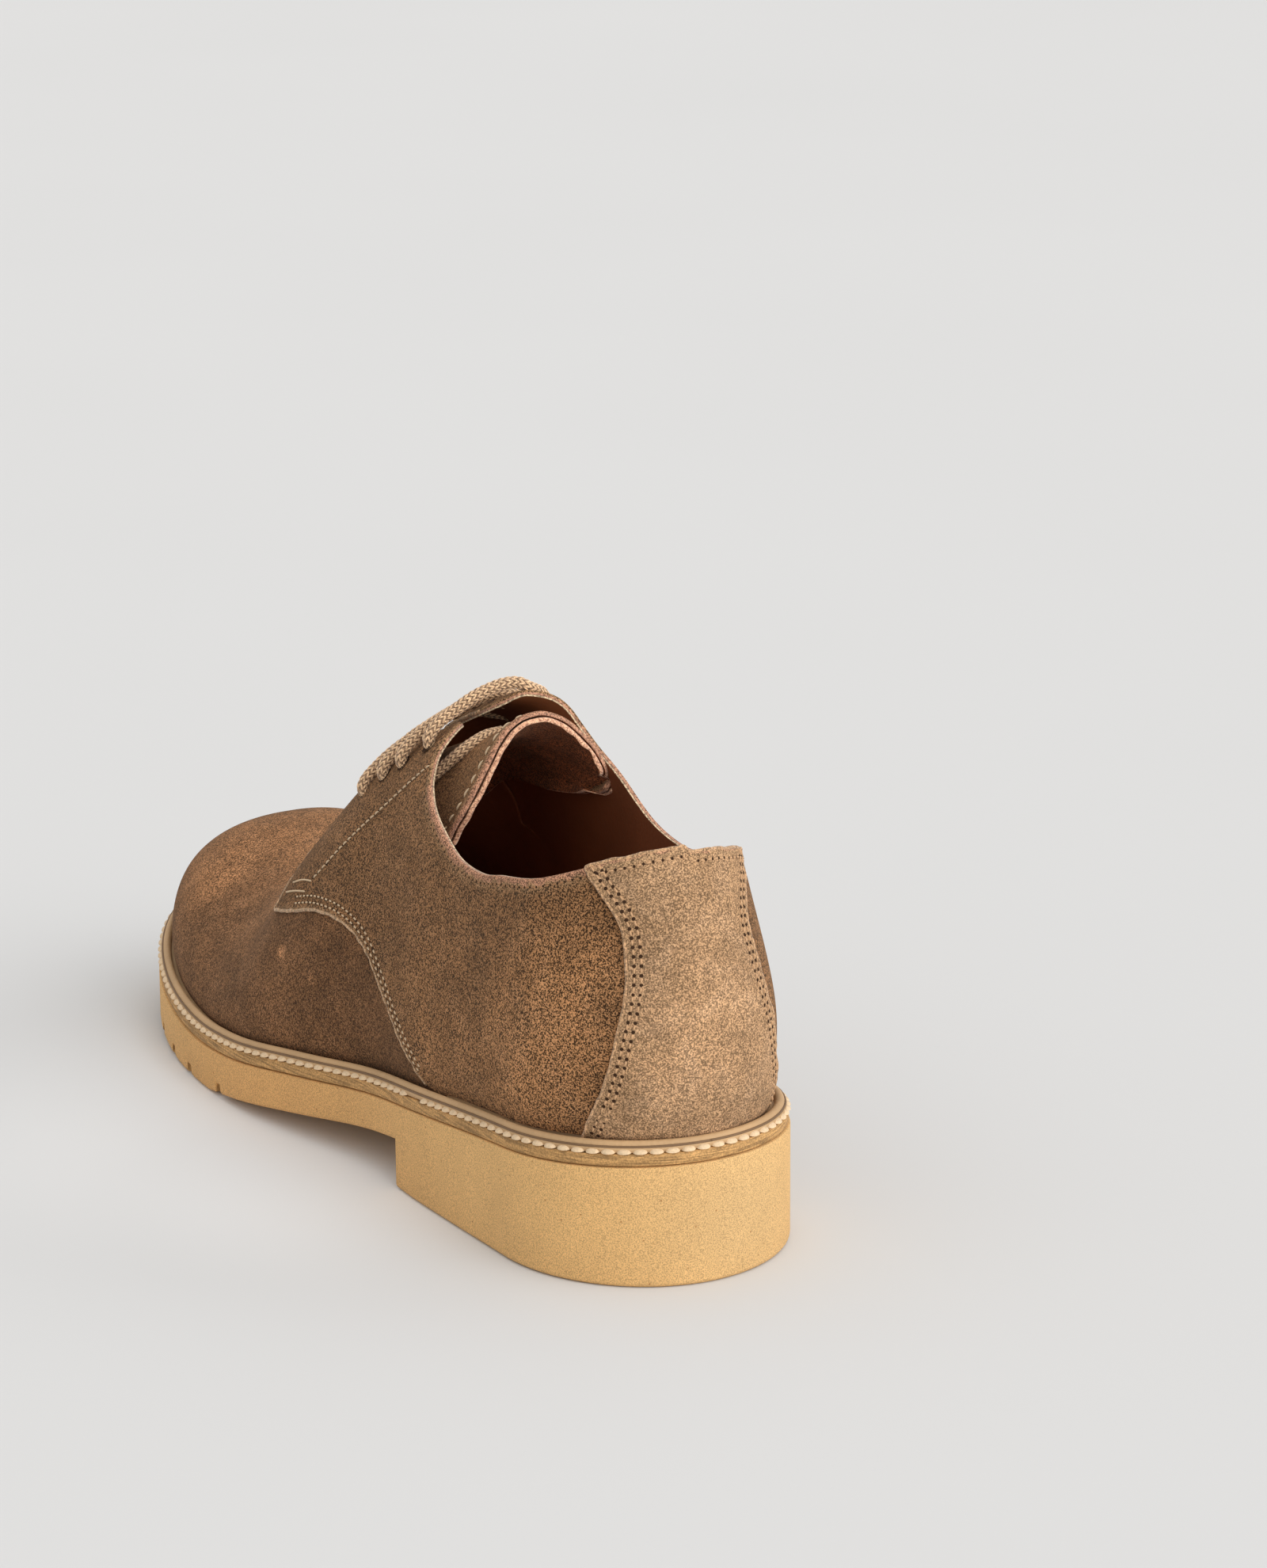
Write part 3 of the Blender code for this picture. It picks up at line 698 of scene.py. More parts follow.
COUNTER_TINTS = (
    # a paler and a darker patch at the back of the counter
    ((0.010, 0.150, 0.060), 0.034, 1.22),
    ((0.020, 0.146, 0.050), 0.010, 0.72),
)
SOLE_PAINTED_SHADE = (
    # painted shade, darker and warmer, on the sole's outer side, away from the key light
    ((0.050, -0.020, 0.012), 0.12, (0.90, 0.82, 0.76)),
    # painted shade on the back of the heel, where the key light falls strongest
    ((-0.012, 0.148, 0.016), 0.045, (0.86, 0.91, 1.0)),
)
FLOOR_SHADOW_LIFT = (
    # painted light: the paper paler where the shoe's shadow falls, which lightens that shadow
    ((0.048, -0.020, 0.0), 0.130, 1.26),
    ((0.048, 0.055, 0.0), 0.080, 1.16),
)
# painted light: the lining in the throat paler, where it lies in shade
LINING_PAINTED_LIGHT = ((-0.004, 0.034, 0.126), 0.030, LIT_LINING)
FIBRE_SCALE = 2400.0
FLUFF_SCALE = 1050.0
FLUFF_SHARE = 0.24


def suede(name, base, grain=1.0, blotch=0.25, wear_and_light=()):
    """Napped leather: fibre clumps, soft blotches, and paler and darker spots that are partly real wear
    and partly painted highlight and shade.
    """
    made, kit = shader(name, 0.95, sheen=0.14, sheen_tint=(0.80, 0.60, 0.42), specular=0.15)
    fibre = kit.noise(FIBRE_SCALE, rough=0.6, distortion=0.5)
    fluff = kit.noise(FLUFF_SCALE, rough=0.6, distortion=0.5)
    height = kit.mix(fibre, fluff, FLUFF_SHARE)
    depth = min(grain, 1.0)
    half = 0.08 / max(grain, 1.0)
    colour = kit.speckle(height, base, 1 - 0.80 * depth, 1 + 1.5 * depth, half)
    cloud = kit.noise(42.0, 3.0, 0.6, distortion=0.6)
    patch = kit.noise(115.0)
    dust = kit.noise(75.0, 4.0, 0.65, distortion=1.0)
    colour = kit.times(colour, kit.ramp(cloud, (0.38, 1 - blotch), (0.62, 1.0)))
    colour = kit.times(colour, kit.ramp(patch, (0.35, 1 - blotch * 0.6), (0.65, 1.0)))
    colour = kit.times(colour, kit.ramp(dust, (0.45, 1.0), (0.68, (1.16, 1.20, 1.28))))
    # spots of real wear, painted highlight and painted shade
    colour = kit.wear_and_light_spots(colour, wear_and_light)
    border = kit.attribute("edge")
    raw = kit.ramp(border, (0.50, CUT_TAN), (0.75, RAW_EDGE))
    nap = kit.ramp(height, (0.50 - half, 0.35), (0.50, 1.0), (0.50 + half, 1.6))
    colour = kit.mix(colour, kit.times(raw, nap), border)
    kit.finish(colour, kit.bump(height, 0.0012 * (0.3 + 0.7 * grain), 0.55))
    return made


def raw_edge(name, base=RAW_EDGE):
    """The cut edge of napped leather: pale, fibrous, with darker pits."""
    made, kit = shader(name, 0.9, sheen=0.3, specular=0.3)
    fibre = kit.noise(1500.0, 3.0, 0.7)
    kit.finish(kit.speckle(fibre, base, 0.40, 1.6), kit.bump(fibre, 0.0008, 0.7))
    return made


def smooth_leather(name, base, rough=0.55, crinkle=0.4, spots=()):
    """Plain leather with a fine grain; each spot is (centre, radius, colour)."""
    made, kit = shader(name, rough, specular=0.4)
    colour = kit.mix(tone(base, 0.65), tone(base, 1.25), kit.noise(45.0, 3.0))
    for centre, radius, other in spots:
        colour = kit.mix(colour, other, kit.near(centre, radius))
    kit.finish(colour, kit.bump(kit.cells(900.0), 0.0002, crinkle))
    return made


def thread(name, base):
    """Waxed stitching thread with a light twist."""
    made, kit = shader(name, 0.6, specular=0.4)
    strand = kit.noise(1500.0, 1.0)
    kit.finish(kit.mix(tone(base, 0.72), tone(base, 1.15), strand), kit.bump(strand, 0.0002, 0.5))
    return made


def cellular(name, base):
    """Light cellular rubber, finely speckled, with small pits, and painted shade on its outer side and
    the back of its heel.
    """
    made, kit = shader(name, 0.78, specular=0.35)
    pits = kit.cells(230.0)
    pores = kit.noise(3000.0, rough=0.6)
    cloud = kit.noise(26.0, 3.0, 0.6)
    colour = kit.speckle(pores, base, 0.70, 1.20)
    colour = kit.mix(colour, kit.ramp(pits, (0.045, (0.55, 0.40, 0.28)), (0.075, 1.0)), 0.8, "MULTIPLY")
    # painted shade on the sole's outer side and its heel
    colour = kit.wear_and_light_spots(colour, SOLE_PAINTED_SHADE)
    colour = kit.times(colour, kit.ramp(cloud, (0.3, 0.86), (0.7, 1.0)))
    kit.finish(colour, kit.bump(kit.mix(pores, pits, 0.4), 0.0003, 0.5))
    return made


def edge_stain(name, base):
    """The midsole's stained edge, with lines that run along it."""
    made, kit = shader(name, 0.7, specular=0.35)
    lines = kit.noise(420.0, 3.0, 0.7, vector=kit.stretch((0.22, 0.22, 5.0)))
    cloud = kit.noise(90.0, 3.0, 0.7)
    specks = kit.noise(1900.0, rough=0.6)
    colour = kit.speckle(lines, base, 0.62, 1.28)
    colour = kit.times(colour, kit.ramp(cloud, (0.35, 0.80), (0.65, 1.0)))
    colour = kit.times(colour, kit.ramp(specks, (0.40, 0.75), (0.60, 1.15)))
    kit.finish(colour, kit.bump(lines, 0.0004, 0.6))
    return made


def braid(name, base):
    """Round braided cord: painted shade in the grooves between the strands and painted highlight on their
    crowns, following the relief of the mesh.
    """
    made, kit = shader(name, 0.85, sheen=0.3, specular=0.3)
    fibre = kit.noise(2600.0)
    relief = kit.attribute("relief")
    # painted shade where the relief is low, painted highlight where it is high
    colour = kit.ramp(relief, (0.05, tone(base, 0.22)), (0.45, base), (0.90, tone(base, 1.60)))
    colour = kit.times(colour, kit.ramp(fibre, (0.36, 0.50), (0.64, 1.20)))
    kit.finish(colour, kit.bump(fibre, 0.0002, 0.5))
    return made


def hole_shade(name):
    """Painted shade standing in for a needle's hole: dark, a little uneven."""
    made, kit = shader(name, 0.95, specular=0.1)
    kit.finish(kit.mix(HOLE_SHADE, tone(HOLE_SHADE, 1.6), kit.noise(900.0)))
    return made


# Mesh building

def mesh_object(name, spots, faces, materials, slots=None, smooth=True):
    mesh = bpy.data.meshes.new(name)
    mesh.from_pydata([tuple(p) for p in spots], [], faces)
    for made in materials:
        mesh.materials.append(made)
    if slots is not None:
        mesh.polygons.foreach_set("material_index", slots)
    mesh.polygons.foreach_set("use_smooth", [smooth] * len(mesh.polygons))
    mesh.update()
    piece = bpy.data.objects.new(name, mesh)
    bpy.context.scene.collection.objects.link(piece)
    return piece


def grid_faces(rows, columns, loop_rows=False, loop_columns=False):
    faces = []
    for i in range(rows if loop_rows else rows - 1):
        for j in range(columns if loop_columns else columns - 1):
            k = (i + 1) % rows
            m = (j + 1) % columns
            faces.append((i * columns + j, i * columns + m, k * columns + m, k * columns + j))
    return faces


def point_values(piece, name, values):
    """A named number at every point of the piece, for its material."""
    piece.data.attributes.new(name, "FLOAT", "POINT").data.foreach_set("value", values)


def slab_piece(name, outer, inner, materials, edge=None, flip=False):
    """A closed leather piece between two grids of points: outer face, inner face, cut edge.
    Its edge is rounded by drawing the rim's middle rows a little outwards."""
    rows, columns = outer.shape[:2]
    count = rows * columns
    faces = grid_faces(rows, columns)
    back = [tuple(count + v for v in reversed(f)) for f in faces]
    ring = [(0, j) for j in range(columns)] + [(i, columns - 1) for i in range(1, rows)]
    ring += [(rows - 1, j) for j in range(columns - 2, -1, -1)]
    ring += [(i, 0) for i in range(rows - 2, 0, -1)]
    centre = np.array([outer[i, j] for i, j in ring])
    under = np.array([inner[i, j] for i, j in ring])
    inside = np.array([outer[min(max(i, 1), rows - 2), min(max(j, 1), columns - 2)] for i, j in ring])
    away = unit(centre - inside)
    depth = np.linalg.norm(centre - under, axis=1, keepdims=True)
    middle = [centre + (under - centre) * f + away * depth * reach for f, reach in EDGE_BULGE]
    spots = np.concatenate([outer.reshape(-1, 3), inner.reshape(-1, 3)] + middle)
    size = len(ring)
    top = [i * columns + j for i, j in ring]
    rings = [top] + [[2 * count + k * size + n for n in range(size)] for k in range(len(middle))]
    rings.append([count + v for v in top])
    rim = []
    for high, low in zip(rings, rings[1:]):
        for n in range(size):
            m = (n + 1) % size
            rim.append((high[m], high[n], low[n], low[m]))
    every = faces + back + rim
    if flip:
        every = [tuple(reversed(f)) for f in every]
    plain = len(materials) > 3
    borders = [3 if plain and not columns - 1 <= n < columns + rows - 2 else 2 for n in range(size)]
    slots = [0] * len(faces) + [1] * len(back) + borders * (len(rings) - 1)
    piece = mesh_object(name, spots, every, materials, slots)
    if edge is not None:
        values = np.zeros(len(spots))
        values[:count] = edge.reshape(-1)
        point_values(piece, "edge", values)
    return piece


def dress(piece, slot, *nodes):
    """The piece rides with the shoe and stands for the named solids."""
    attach(piece, "root")
    if nodes:
        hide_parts(*nodes)
    return piece


def outward(spots):
    """Rough outward directions, away from a core that runs through the shoe."""
    core = np.zeros((len(spots), 3))
    core[:, 1] = np.clip(spots[:, 1], -CORE_REACH, CORE_REACH)
    core[:, 2] = CORE_HEIGHT
    return spots - core


def face_out(ways, spots):
    """The directions, turned where need be to point away from the shoe's core."""
    inwards = np.sum(ways * outward(spots), axis=1, keepdims=True) < 0
    return np.where(inwards, -ways, ways)


def stitches(name, route, normals, stitch, made, slot, lift=0.0, skip=(), dome=False):
    """A row of short raised stitches along a route that lies on the leather, with dark discs
    of painted shade for the needle's holes between them. A dome is a bead with a flat underside."""
    if not dome:
        normals = face_out(normals, route)
    run = run_along(route)
    count = max(int(run[-1] / stitch.pitch), 1)
    spacing = run[-1] / count
    sides, rings, height = (10, 11, 0.72) if dome else (6, 5, 1.0)
    spots, faces, slots = [], [], []

    def frame_at(at):
        low, high = max(at - 2e-4, 0), min(at + 2e-4, run[-1])
        ahead = unit(at_run(high, run, route) - at_run(low, run, route))
        up = at_run(at, run, normals)
        up = unit(up - ahead * (up @ ahead))
        return at_run(at, run, route), up, np.cross(ahead, up), ahead

    for n in range(count):
        middle = (n + 0.5) * spacing
        if any(a < middle < b for a, b in skip):
            continue
        base = len(spots)
        for s in np.linspace(-1, 1, rings):
            spot, up, side, _ = frame_at(middle + s * stitch.length / 2)
            bow = math.sqrt(max(1 - abs(s) ** 2.4, 0.03))
            girth = stitch.radius * (bow if dome else 0.45 + 0.55 * bow)
            core = spot + up * (lift + (0.0 if dome else stitch.radius * (bow - 0.75)))
            for k in range(sides):
                angle = math.pi * k / (sides - 1) if dome else 2 * math.pi * k / sides
                spots.append(core + (side * math.cos(angle) + up * math.sin(angle) * height) * girth)
        faces += [tuple(base + v for v in f) for f in grid_faces(rings, sides, loop_columns=True)]
        faces.append(tuple(base + k for k in reversed(range(sides))))
        faces.append(tuple(base + (rings - 1) * sides + k for k in range(sides)))
        slots += [0] * (len(faces) - len(slots))
        if stitch.hole is None:
            continue
        # a small dark disc of painted shade where the needle's hole is
        spot, up, side, ahead = frame_at(middle - spacing / 2)
        base = len(spots)
        spots.append(spot + up * 0.00010)
        for k in range(sides):
            angle = 2 * math.pi * k / sides
            reach = (side * math.cos(angle) * 1.1 + ahead * math.sin(angle)) * stitch.hole
            spots.append(spot + reach + up * 0.00003)
        spots.append(spot - up * 0.0003)
        for k in range(sides):
            m = (k + 1) % sides
            faces.append((base, base + 1 + k, base + 1 + m))
            faces.append((base + 1 + sides, base + 1 + m, base + 1 + k))
        slots += [1] * (len(faces) - len(slots))
    piece = mesh_object(name, spots, faces, [made, shared(hole_shade, "needle_hole")], slots)
    settle(piece, 80, volume=False)
    return dress(piece, slot)


def tube(name, route, radius, made, slot, sides, spacing, strands=0):
    """A round cord along a route. strands gives it the relief of a braid."""
    run = run_along(route)
    count = max(int(run[-1] / spacing), 2)
    at = np.linspace(0, run[-1], count)
    line = at_run(at, run, route)
    relax(line, 6)
    ahead = unit(np.gradient(line, axis=0))
    side = unit(np.cross(ahead[0], (0.0, 0.0, 1.0)))
    turn = np.arange(sides) * 2 * np.pi / sides
    arm = np.abs(turn * max(strands, 1) / (2 * np.pi) % 1.0 - 0.5) * 2
    spots, relief = [], []
    for n in range(count):
        side = unit(side - ahead[n] * np.dot(side, ahead[n]))
        up = np.cross(side, ahead[n])
        high = np.ones(sides)
        if strands:
            ridge = 0.5 + 0.5 * np.cos(2 * np.pi * (at[n] / BRAID_LAY + 0.8 * arm))
            high = ridge ** 0.8 * (0.40 + 0.60 * np.sin(np.pi * arm))
        girth = radius * (0.82 + 0.18 * high)
        ring = side * np.cos(turn)[:, None] + up * np.sin(turn)[:, None]
        spots += list(line[n] + ring * girth[:, None])
        relief += list(high)
    faces = [tuple(reversed(f)) for f in grid_faces(count, sides, loop_columns=True)]
    faces.append(tuple(range(sides)))
    faces.append(tuple(reversed(range((count - 1) * sides, count * sides))))
    piece = mesh_object(name, spots, faces, [made])
    point_values(piece, "relief", relief)
    return dress(piece, slot)


def smooth_route(knots, steps=12):
    """Points along a smooth curve through the knots."""
    knots = [np.array(k, float) for k in knots]
    ends = [knots[0] * 2 - knots[1]] + knots + [knots[-1] * 2 - knots[-2]]
    points = []
    for a, b, c, d in zip(ends, ends[1:], ends[2:], ends[3:]):
        for i in range(steps):
            t = i / steps
            points.append(0.5 * (2 * b + (c - a) * t + (2 * a - 5 * b + 4 * c - d) * t ** 2
                                 + (3 * b - 3 * c + d - a) * t ** 3))
    points.append(knots[-1])
    return np.array(points)


def inset_route(grid, edge, distance):
    """A route on a surface grid at a distance in from an edge of it, with the normals."""
    tree = BVHTree.FromPolygons([Vector(p) for p in grid.reshape(-1, 3)], grid_faces(*grid.shape[:2]))
    tries = []
    for sign in (1, -1):
        route, ups, miss = [], [], 0.0
        for spot, direction in zip(edge, unit(np.gradient(edge, axis=0))):
            up = np.array(tree.find_nearest(Vector(spot))[1])
            inward = unit(np.cross(up, direction) * sign)
            near, normal, _, gap = tree.find_nearest(Vector(spot + inward * distance))
            miss += gap
            route.append(np.array(near))
            ups.append(np.array(normal))
        tries.append((miss, np.array(route), np.array(ups)))
    _, route, ups = min(tries, key=lambda t: t[0])
    relax(route, 3)
    return route, ups


def last_route(rows, proud, side=1, count=80):
    """A smooth route over the last through (along, turn) places, with the normals."""
    knots = smooth_route([np.array([float(place_of(a)), t, 0.0]) for a, t in rows], 16)
    place, turn, _ = at_run(np.linspace(0, len(knots) - 1, count), np.arange(len(knots)), knots).T
    normal = last_normal(place * side, turn)
    return last_point(place * side, turn) + normal * proud, normal


# The sole

def outline_at(along, inset, outer):
    """Edge of the sole at a share of the length, drawn in by inset."""
    shifted = inset / SOLE_LENGTH + along * (1 - 2 * inset / SOLE_LENGTH)
    reach = float(half_width(along, outer)) * (1 - inset / float(full_width(along, outer)))
    x = (reach if outer else -reach) + float(swing(shifted))
    return np.array([x, SOLE_LENGTH * (0.5 - shifted)])


def sole_stations(count, extra=()):
    """Shares of the length, crowded at both ends, that keep clear of the extra ones."""
    even = [0.00002] + [float(station(i / count)) for i in range(1, count)] + [0.99998]
    kept = [s for s in even if all(abs(s - e) > 0.0006 for e in extra)]
    return sorted(kept + list(extra))


def across_loft(name, stations, profile, across, height, made):
    """A long body whose rings run down the outer edge by a profile of (inset, face,
    drop), across under it and up the inner edge. height(along, face, drop, inset)
    gives Z, with top or low as the face."""
    rings = []
    for along in stations:
        ring = []
        for outer in (True, False):
            edge = []
            for inset, face, drop in profile:
                x, y = outline_at(along, inset, outer)
                edge.append((x, y, height(length_share(y), face, drop, inset)))
            ring.append(edge)
        far, near = ring[0][-1], ring[1][-1]
        below = []
        for k in range(1, across):
            x = far[0] + (near[0] - far[0]) * k / across
            y = far[1] + (near[1] - far[1]) * k / across
            reach = min(abs(x - far[0]), abs(x - near[0])) + profile[-1][0]
            below.append((x, y, height(length_share(y), "low", 0.0, reach)))
        rings.append(ring[0] + below + ring[1][::-1])
    columns = len(rings[0])
    faces = grid_faces(len(rings), columns, loop_columns=True)
    for base, order in ((0, 1), ((len(rings) - 1) * columns, -1)):
        for k in range(columns // 2 - 1):
            mirror = columns - 1 - k
            faces.append(tuple((base + k, base + k + 1, base + mirror - 1, base + mirror)[::order]))
    piece = mesh_object(name, [p for ring in rings for p in ring], faces, [made])
    settle(piece)
    return piece


def settle(piece, angle=35, volume=True):
    """Faces turned outwards and edges sharper than an angle kept crisp."""
    mesh = bmesh.new()
    mesh.from_mesh(piece.data)
    bmesh.ops.recalc_face_normals(mesh, faces=mesh.faces)
    if volume and mesh.calc_volume(signed=True) < 0:
        bmesh.ops.reverse_faces(mesh, faces=mesh.faces)
    mesh.to_mesh(piece.data)
    mesh.free()
    piece.data.set_sharp_from_angle(angle=math.radians(angle))


def under_sole(along, inset):
    """The outsole's underside: heel, arch, flat tread, toe spring and edge grooves."""
    breast = HEEL_LENGTH / SOLE_LENGTH
    if along <= breast:
        return 0.0
    if along < TREAD_START:
        base = ARCH_HEIGHT * (TREAD_START - along) / (TREAD_START - breast)
    elif along <= TREAD_END:
        base = 0.0
    else:
        base = TOE_SPRING * ((along - TREAD_END) / (1 - TREAD_END)) ** TOE_CURVE
    half = GROOVE_WIDTH / 2 / SOLE_LENGTH
    cut = any(abs(along - g) < half for g in GROOVES)
    return base + (GROOVE_DEPTH if cut and inset < GROOVE_REACH else 0.0)


def corner_rows(face, edge, far):
    """Rows (inset, face, drop) from far inside to a small corner at the edge."""
    return [(far, face, 0.0), (edge + CORNER, face, 0.0), (edge + CORNER * 0.3, face, CORNER * 0.3),
            (edge, face, CORNER)]


def make_outsole():
    """The moulded unit; rings stand close together where the heel and grooves step."""
    breast = HEEL_LENGTH / SOLE_LENGTH
    tiny = GROOVE_STEP / SOLE_LENGTH
    half = GROOVE_WIDTH / 2 / SOLE_LENGTH
    marks = [breast - 0.0008, breast - 0.0003, breast, breast + tiny, TREAD_START, TREAD_END]
    for groove in GROOVES:
        for wall in (groove - half, groove + half):
            marks += [wall - tiny, wall + tiny]
    rows = corner_rows("top", 0.0, GROOVE_REACH)
    for angle in np.linspace(0, math.pi / 2, 5):
        rows.append((EDGE_CHAMFER * (1 - math.cos(angle)), "low", EDGE_CHAMFER * (1 - math.sin(angle))))
    for inset in (GROOVE_REACH * 0.5, GROOVE_REACH - GROOVE_STEP, GROOVE_REACH + GROOVE_STEP):
        rows.append((inset, "low", 0.0))

    def height(along, face, drop, inset):
        return float(sole_top(along)) - drop if face == "top" else under_sole(along, inset) + drop

    made = cellular("cellular_rubber", HONEY)
    piece = across_loft("sole_unit", sole_stations(200, marks), rows, 12, height, made)
    dress(piece, "outsole", "outsole")


def make_midsole():
    """The thin stained layer between the outsole and the welt."""
    rows = corner_rows("top", MIDSOLE_EDGE, MIDSOLE_RIM)
    rows += corner_rows("low", MIDSOLE_EDGE, MIDSOLE_RIM)[::-1]

    def height(along, face, drop, _):
        base = float(sole_top(along)) + GAP
        return base + MIDSOLE_THICKNESS - drop if face == "top" else base + drop

    made = edge_stain("stained_edge", KHAKI)
    piece = across_loft("midsole_edge", sole_stations(160), rows, 6, height, made)
    dress(piece, "midsole", "midsole")


def loop_route(count, inset, level):
    """Points round the sole at an inset and a level above the midsole."""
    ways = [(i, True) for i in range(count + 1)] + [(i, False) for i in range(count - 1, 0, -1)]
    spots = []
    for i, outer in ways:
        x, y = outline_at(float(station(i / count)), inset, outer)
        spots.append((x, y, float(sole_top(length_share(y))) + MIDSOLE_THICKNESS + 2 * GAP + level))
    return np.array(spots)


def closed(route):
    return np.concatenate([route, route[:1]])


def make_welt():
    """The strip with its raised rounded rib, a dark roll of painted shade at the rib's foot, and the
    bead-like stitches below the rib.
    """
    rib = SOLE_MARGIN - RIB_CLEARANCE - RIB_RADIUS
    low, high = WELT_CORNERS
    profile = [(WELT_DEPTH, 0.0), (WELT_EDGE + low, 0.0), (WELT_EDGE, low),
               (WELT_EDGE, WELT_THICKNESS - high), (WELT_EDGE + high, WELT_THICKNESS)]
    for angle in np.linspace(math.pi, 0, 13):
        level = WELT_THICKNESS + RIB_RADIUS * RIB_SHAPE * math.sin(angle)
        profile.append((rib + RIB_RADIUS * math.cos(angle), level))
    profile.append((WELT_DEPTH, WELT_THICKNESS))
    lines = np.array([loop_route(150, inset, level) for inset, level in profile])
    piece = mesh_object("welt_strip", lines.reshape(-1, 3),
                        grid_faces(*lines.shape[:2], loop_rows=True, loop_columns=True),
                        [smooth_leather("welt_leather", WELT_TAN, rough=0.6, crinkle=0.6)])
    settle(piece, 50)
    dress(piece, "welt", "welt")
    foot = closed(loop_route(400, rib - RIB_RADIUS - 0.0001, WELT_THICKNESS + 0.0001))
    # a dark roll of painted shade along the groove at the rib's foot
    tube("welt_groove", foot, WELT_GROOVE_RADIUS, smooth_leather("groove_shade", GROOVE_SHADE), "welt",
         sides=8, spacing=0.0008)
    route = closed(loop_route(400, WELT_EDGE + low, 0.0001))
    sideways = face_out(unit(np.cross(np.gradient(route, axis=0), (0, 0, 1.0))), route)
    join = run_along(route)[np.argmin(np.abs(length_share(route[:200, 1]) - WELT_JOIN))]
    stitches("welt_stitches", route, sideways * 0.15 + np.array([0, 0, 0.99]), WELT_BEAD,
             thread("welt_thread", tone(CREAM, 1.2)), "welt",
             skip=((join - 0.003, join + 0.004),), dome=True)


def make_sock():
    """The lining sock that covers the insole and turns up a little at its edge."""
    made = smooth_leather("sock_leather", tone(LINING, 1.2), rough=0.6)
    lines = []
    for along in sole_stations(90):
        row = []
        for f in np.linspace(-1, 1, 31):
            x, y = outline_at(along, WELT_DEPTH + INSOLE_CLEARANCE, f < 0)
            middle = float(swing(length_share(y)))
            base = float(sole_top(length_share(y))) + MIDSOLE_THICKNESS + 3 * GAP + INSOLE_THICKNESS
            row.append((middle + (x - middle) * abs(f), y, base + 0.0004 * abs(f) ** 6))
        lines.append(row)
    top = np.array(lines)
    piece = slab_piece("sock", top, top - np.array([0, 0, SOCK_THICKNESS]), [made] * 3)
    settle(piece)
    dress(piece, "insole")
    frame["nodes"]["insole"].material_slots[0].material = made


# The upper

def crowded(count):
    """Shares from 0 to 1 that crowd together at both ends, for rounded edges."""
    close = np.array([0.0, 0.0025, 0.005, 0.008, 0.012, 0.018])
    return np.concatenate([close, np.linspace(0.028, 0.972, count), 1 - close[::-1]])


def quarter_grid(ups=64, shares=225):
    """Grid of both quarters in one piece, from the outer front edge round the heel to
    the inner one: signed place, turn and signed share of the quarter."""
    half = np.concatenate([np.linspace(0, 0.985, shares), [0.989, 0.993, 0.9965, 1.0]])
    signed = np.concatenate([half[::-1], -half[1:]])
    share = np.abs(signed)
    inner = signed < 0
    shift = np.where(inner, INNER_SHIFT * ease(share, 0.4, 0.8), 0.0)
    low = place_of(read(QUARTER, "low_along", share))
    high = place_of(read(QUARTER, "top_along", share) + shift)
    low_turn = read(QUARTER, "low_turn", share)
    top_turn = read(QUARTER, "top_turn", share) + np.where(inner, linear(INNER_REACH, share), 0.0)
    up = crowded(ups)
    place = low[:, None] + (high - low)[:, None] * up
    turn = low_turn[:, None] + (top_turn - low_turn)[:, None] * up
    return place * np.where(inner, -1.0, 1.0)[:, None], turn, signed


def border_distances(grid):
    """Distances of every grid point from the first and last column and row."""
    found = []
    for axis in (1, 0):
        steps = np.linalg.norm(np.diff(grid, axis=axis), axis=2)
        none = np.zeros_like(steps.take([0], axis))
        found.append(np.concatenate([none, np.cumsum(steps, axis=axis)], axis=axis))
        back = np.flip(np.cumsum(np.flip(steps, axis), axis=axis), axis)
        found.append(np.concatenate([back, none], axis=axis))
    return found


def rounded(away, radius):
    """How much an edge rounded by this radius sinks at a distance from the border."""
    f = 1 - np.clip(away / radius, 0, 1)
    return radius * (1 - np.sqrt(1 - f * f * 0.98))


def wander(spots, size, depth, seed):
    """Small soft dents over a surface: a sum of slow waves."""
    total = np.zeros(spots.shape[:-1])
    draw = np.random.default_rng(seed)
    for _ in range(WAVES):
        way = draw.normal(size=3)
        way /= np.linalg.norm(way)
        wave = spots @ way * 2 * np.pi / (size * draw.uniform(0.7, 1.4))
        total += np.sin(wave + draw.uniform(0, 6.28))
    return total / WAVES * depth


def quarter_relief(spots):
    """Dents and undulations of the quarters, in metres."""
    return wander(spots, size=0.045, depth=0.0009, seed=4) * ease(spots[..., 2], 0.045, 0.07)


def cut_roll(name, route, normals, made, slot):
    """The pale, slightly ragged cut edge of a piece of leather, as a fine roll."""
    ragged = wander(route, size=0.0035, depth=0.00035, seed=77)[:, None]
    frayed = np.stack([wander(route, size=0.0017, depth=0.00045, seed=seed) for seed in (51, 52, 53)], -1)
    line = route + normals * (ragged - CUT_SINK) + frayed
    tube(name, line, CUT_RADIUS, made, slot, sides=10, spacing=0.0004)


